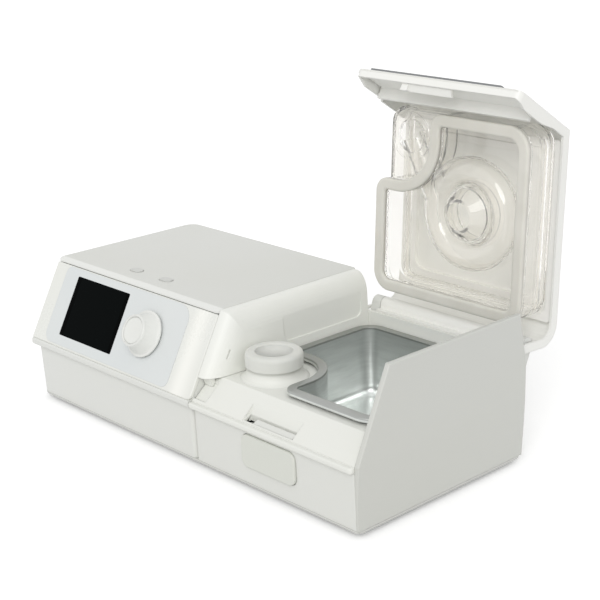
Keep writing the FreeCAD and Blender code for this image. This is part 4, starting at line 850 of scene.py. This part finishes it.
# %% [markdown]
# ## The seal on the open lid
# The seal is drawn where it lies when the lid is closed, because its plan is
# level there, and then every point is turned about the hinge line to where the
# lid rests open. Turning the object would be shorter, but its place has to be in
# its mesh. Its underside is a high even power, nearly flat in the middle and
# steep only at its two lips.

# %% Seal
SEAL_IN = (0.3, 7.5)
SEAL_Z = (60.9, 63.8)
LIP_HEIGHT = 0.9
LIP_POWER = 6
LIP_STEPS = 33
HINGE = (78.2, 70.5)
LID_OPEN = math.radians(93)


def lid_opened(points):
    """Points of the closed lid, turned by the angle a about the hinge line.

    With y and z measured from the hinge, that is (x, y cos a + z sin a, z cos a - y sin a).
    """
    y, z = points[..., 1] - HINGE[0], points[..., 2] - HINGE[1]
    cosine, sine = math.cos(LID_OPEN), math.sin(LID_OPEN)
    return np.stack([points[..., 0], HINGE[0] + y * cosine + z * sine,
                     HINGE[1] - y * sine + z * cosine], axis=-1)


across = np.linspace(0, 1, LIP_STEPS)
lips = np.column_stack([SEAL_IN[0] + (SEAL_IN[1] - SEAL_IN[0]) * across,
                        SEAL_Z[0] + LIP_HEIGHT * (2 * across - 1) ** LIP_POWER])
section = np.vstack([lips, [(SEAL_IN[1], SEAL_Z[1]), (SEAL_IN[0], SEAL_Z[1]), lips[0]]])
rings = tub_plan(section[:, 0])
heights = np.broadcast_to(section[:, 1][:, None, None], rings.shape[:2] + (1,))
seal = surface("chamber_seal", lid_opened(np.concatenate([rings, heights], axis=-1)),
               "frosted_silicone", "lid")
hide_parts("chamber_gasket")

# %% [markdown]
# ## The spring behind the release key
# Behind the release key sits a small coil spring. A Screw modifier makes a coil
# too, but leaves its ends open. Here it is a tube whose middle line climbs a
# helix, and its wire thins to a point at each end, which closes the tube: the
# wire's radius goes as the root of one minus a high power of the distance from
# the middle. The spring shortens as the key goes in.

# %% Spring
SPRING_AT = (63.5, 25.0)
SPRING_Y = (-64.7, -59.3)
COIL_R = 2.25
WIRE_R = 0.32
COIL_TURNS = 4.5
END_POWER = 40
COIL_STEPS = 180
WIRE_STEPS = 12


def coiled(middle, ends, turns):
    """A tube along y. At turn a and round-the-wire angle b, with wire radius w, it is
    at x = (R + w cos b) cos a, z = (R + w cos b) sin a, y = climb + w sin b.
    """
    along = np.linspace(0, 1, COIL_STEPS)[:, None]
    turn = 2 * math.pi * turns * along
    round_wire = np.linspace(0, 2 * math.pi, WIRE_STEPS, endpoint=False)[None, :]
    thick = WIRE_R * np.sqrt(np.clip(1 - (2 * along - 1) ** END_POWER, 0, 1))
    reach = COIL_R + thick * np.cos(round_wire)
    climb = ends[1] - ends[0] - 2 * WIRE_R
    return np.stack([middle[0] + reach * np.cos(turn),
                     ends[0] + WIRE_R + climb * along + thick * np.sin(round_wire),
                     middle[1] + reach * np.sin(turn)], axis=-1)


coil = surface("key_coil", coiled(SPRING_AT, SPRING_Y, COIL_TURNS), "steel", "housing")
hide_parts("key_spring")
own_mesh(coil)

# %% [markdown]
# ## The foam of the filter
# Behind the filter cover lies a block of foam, a box whose faces swell and whose
# edges are soft. A cube with a Bevel modifier would stay flat between its edges.
# A sphere swells everywhere, and it becomes a block when its sines and cosines
# are raised to a small power: the smaller the power, the squarer the block.

# %% Filter foam
FOAM_MIDDLE = (-114.0, 64.15, 63.0)
FOAM_HALF = (21.3, 3.1, 14.3)
SQUARE_POWER = 0.16
FACE_POWER = 0.35
THICK_POWER = 0.5
FOAM_ROUND, FOAM_RISE = 96, 49


def powered(w, power):
    """The sign of w times its size to a small power, which squares a circle."""
    return np.sign(w) * np.abs(w) ** power


def pillow(middle, half):
    """A sphere's (cos v cos u, sin v, cos v sin u) with each factor powered, times half sizes."""
    u = np.linspace(0, 2 * math.pi, FOAM_ROUND, endpoint=False)[None, :]
    v = np.linspace(-math.pi / 2, math.pi / 2, FOAM_RISE)[:, None]
    face = powered(np.cos(v), FACE_POWER)
    return np.stack([middle[0] + half[0] * face * powered(np.cos(u), SQUARE_POWER),
                     middle[1] + half[1] * powered(np.sin(v), THICK_POWER) + 0 * u,
                     middle[2] + half[2] * face * powered(np.sin(u), SQUARE_POWER)], axis=-1)


block = surface("filter_foam", pillow(FOAM_MIDDLE, FOAM_HALF), "foam", "housing")
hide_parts("air_filter")

# %% [markdown]
# ## Giving each part its finish
# The packed record says which material slot every node takes. The slots carry
# the same names as the finishes above, so one loop dresses the model and no list
# of parts has to be kept here. A few parts get a relative of their slot's finish:
# the flank wall and the liner take lighter copies of the white, painted light.

# %% Dress the CAD nodes
slot_of = {entry["node"]: entry["material_slot"] for entry in frame["record"]["subparts"]}
# The flank wall and the liner take lighter copies of the white: painted light.
slot_of.update(humidifier_housing="deck_white", flank_wall="flank_white", lid_liner="liner_white",
               power_button="console_key", ramp_button="console_key")
for name, obj in parts.items():
    for material_slot in obj.material_slots:
        material_slot.material = finishes[slot_of[name]]
print(len(parts), "nodes dressed")

# %% [markdown]
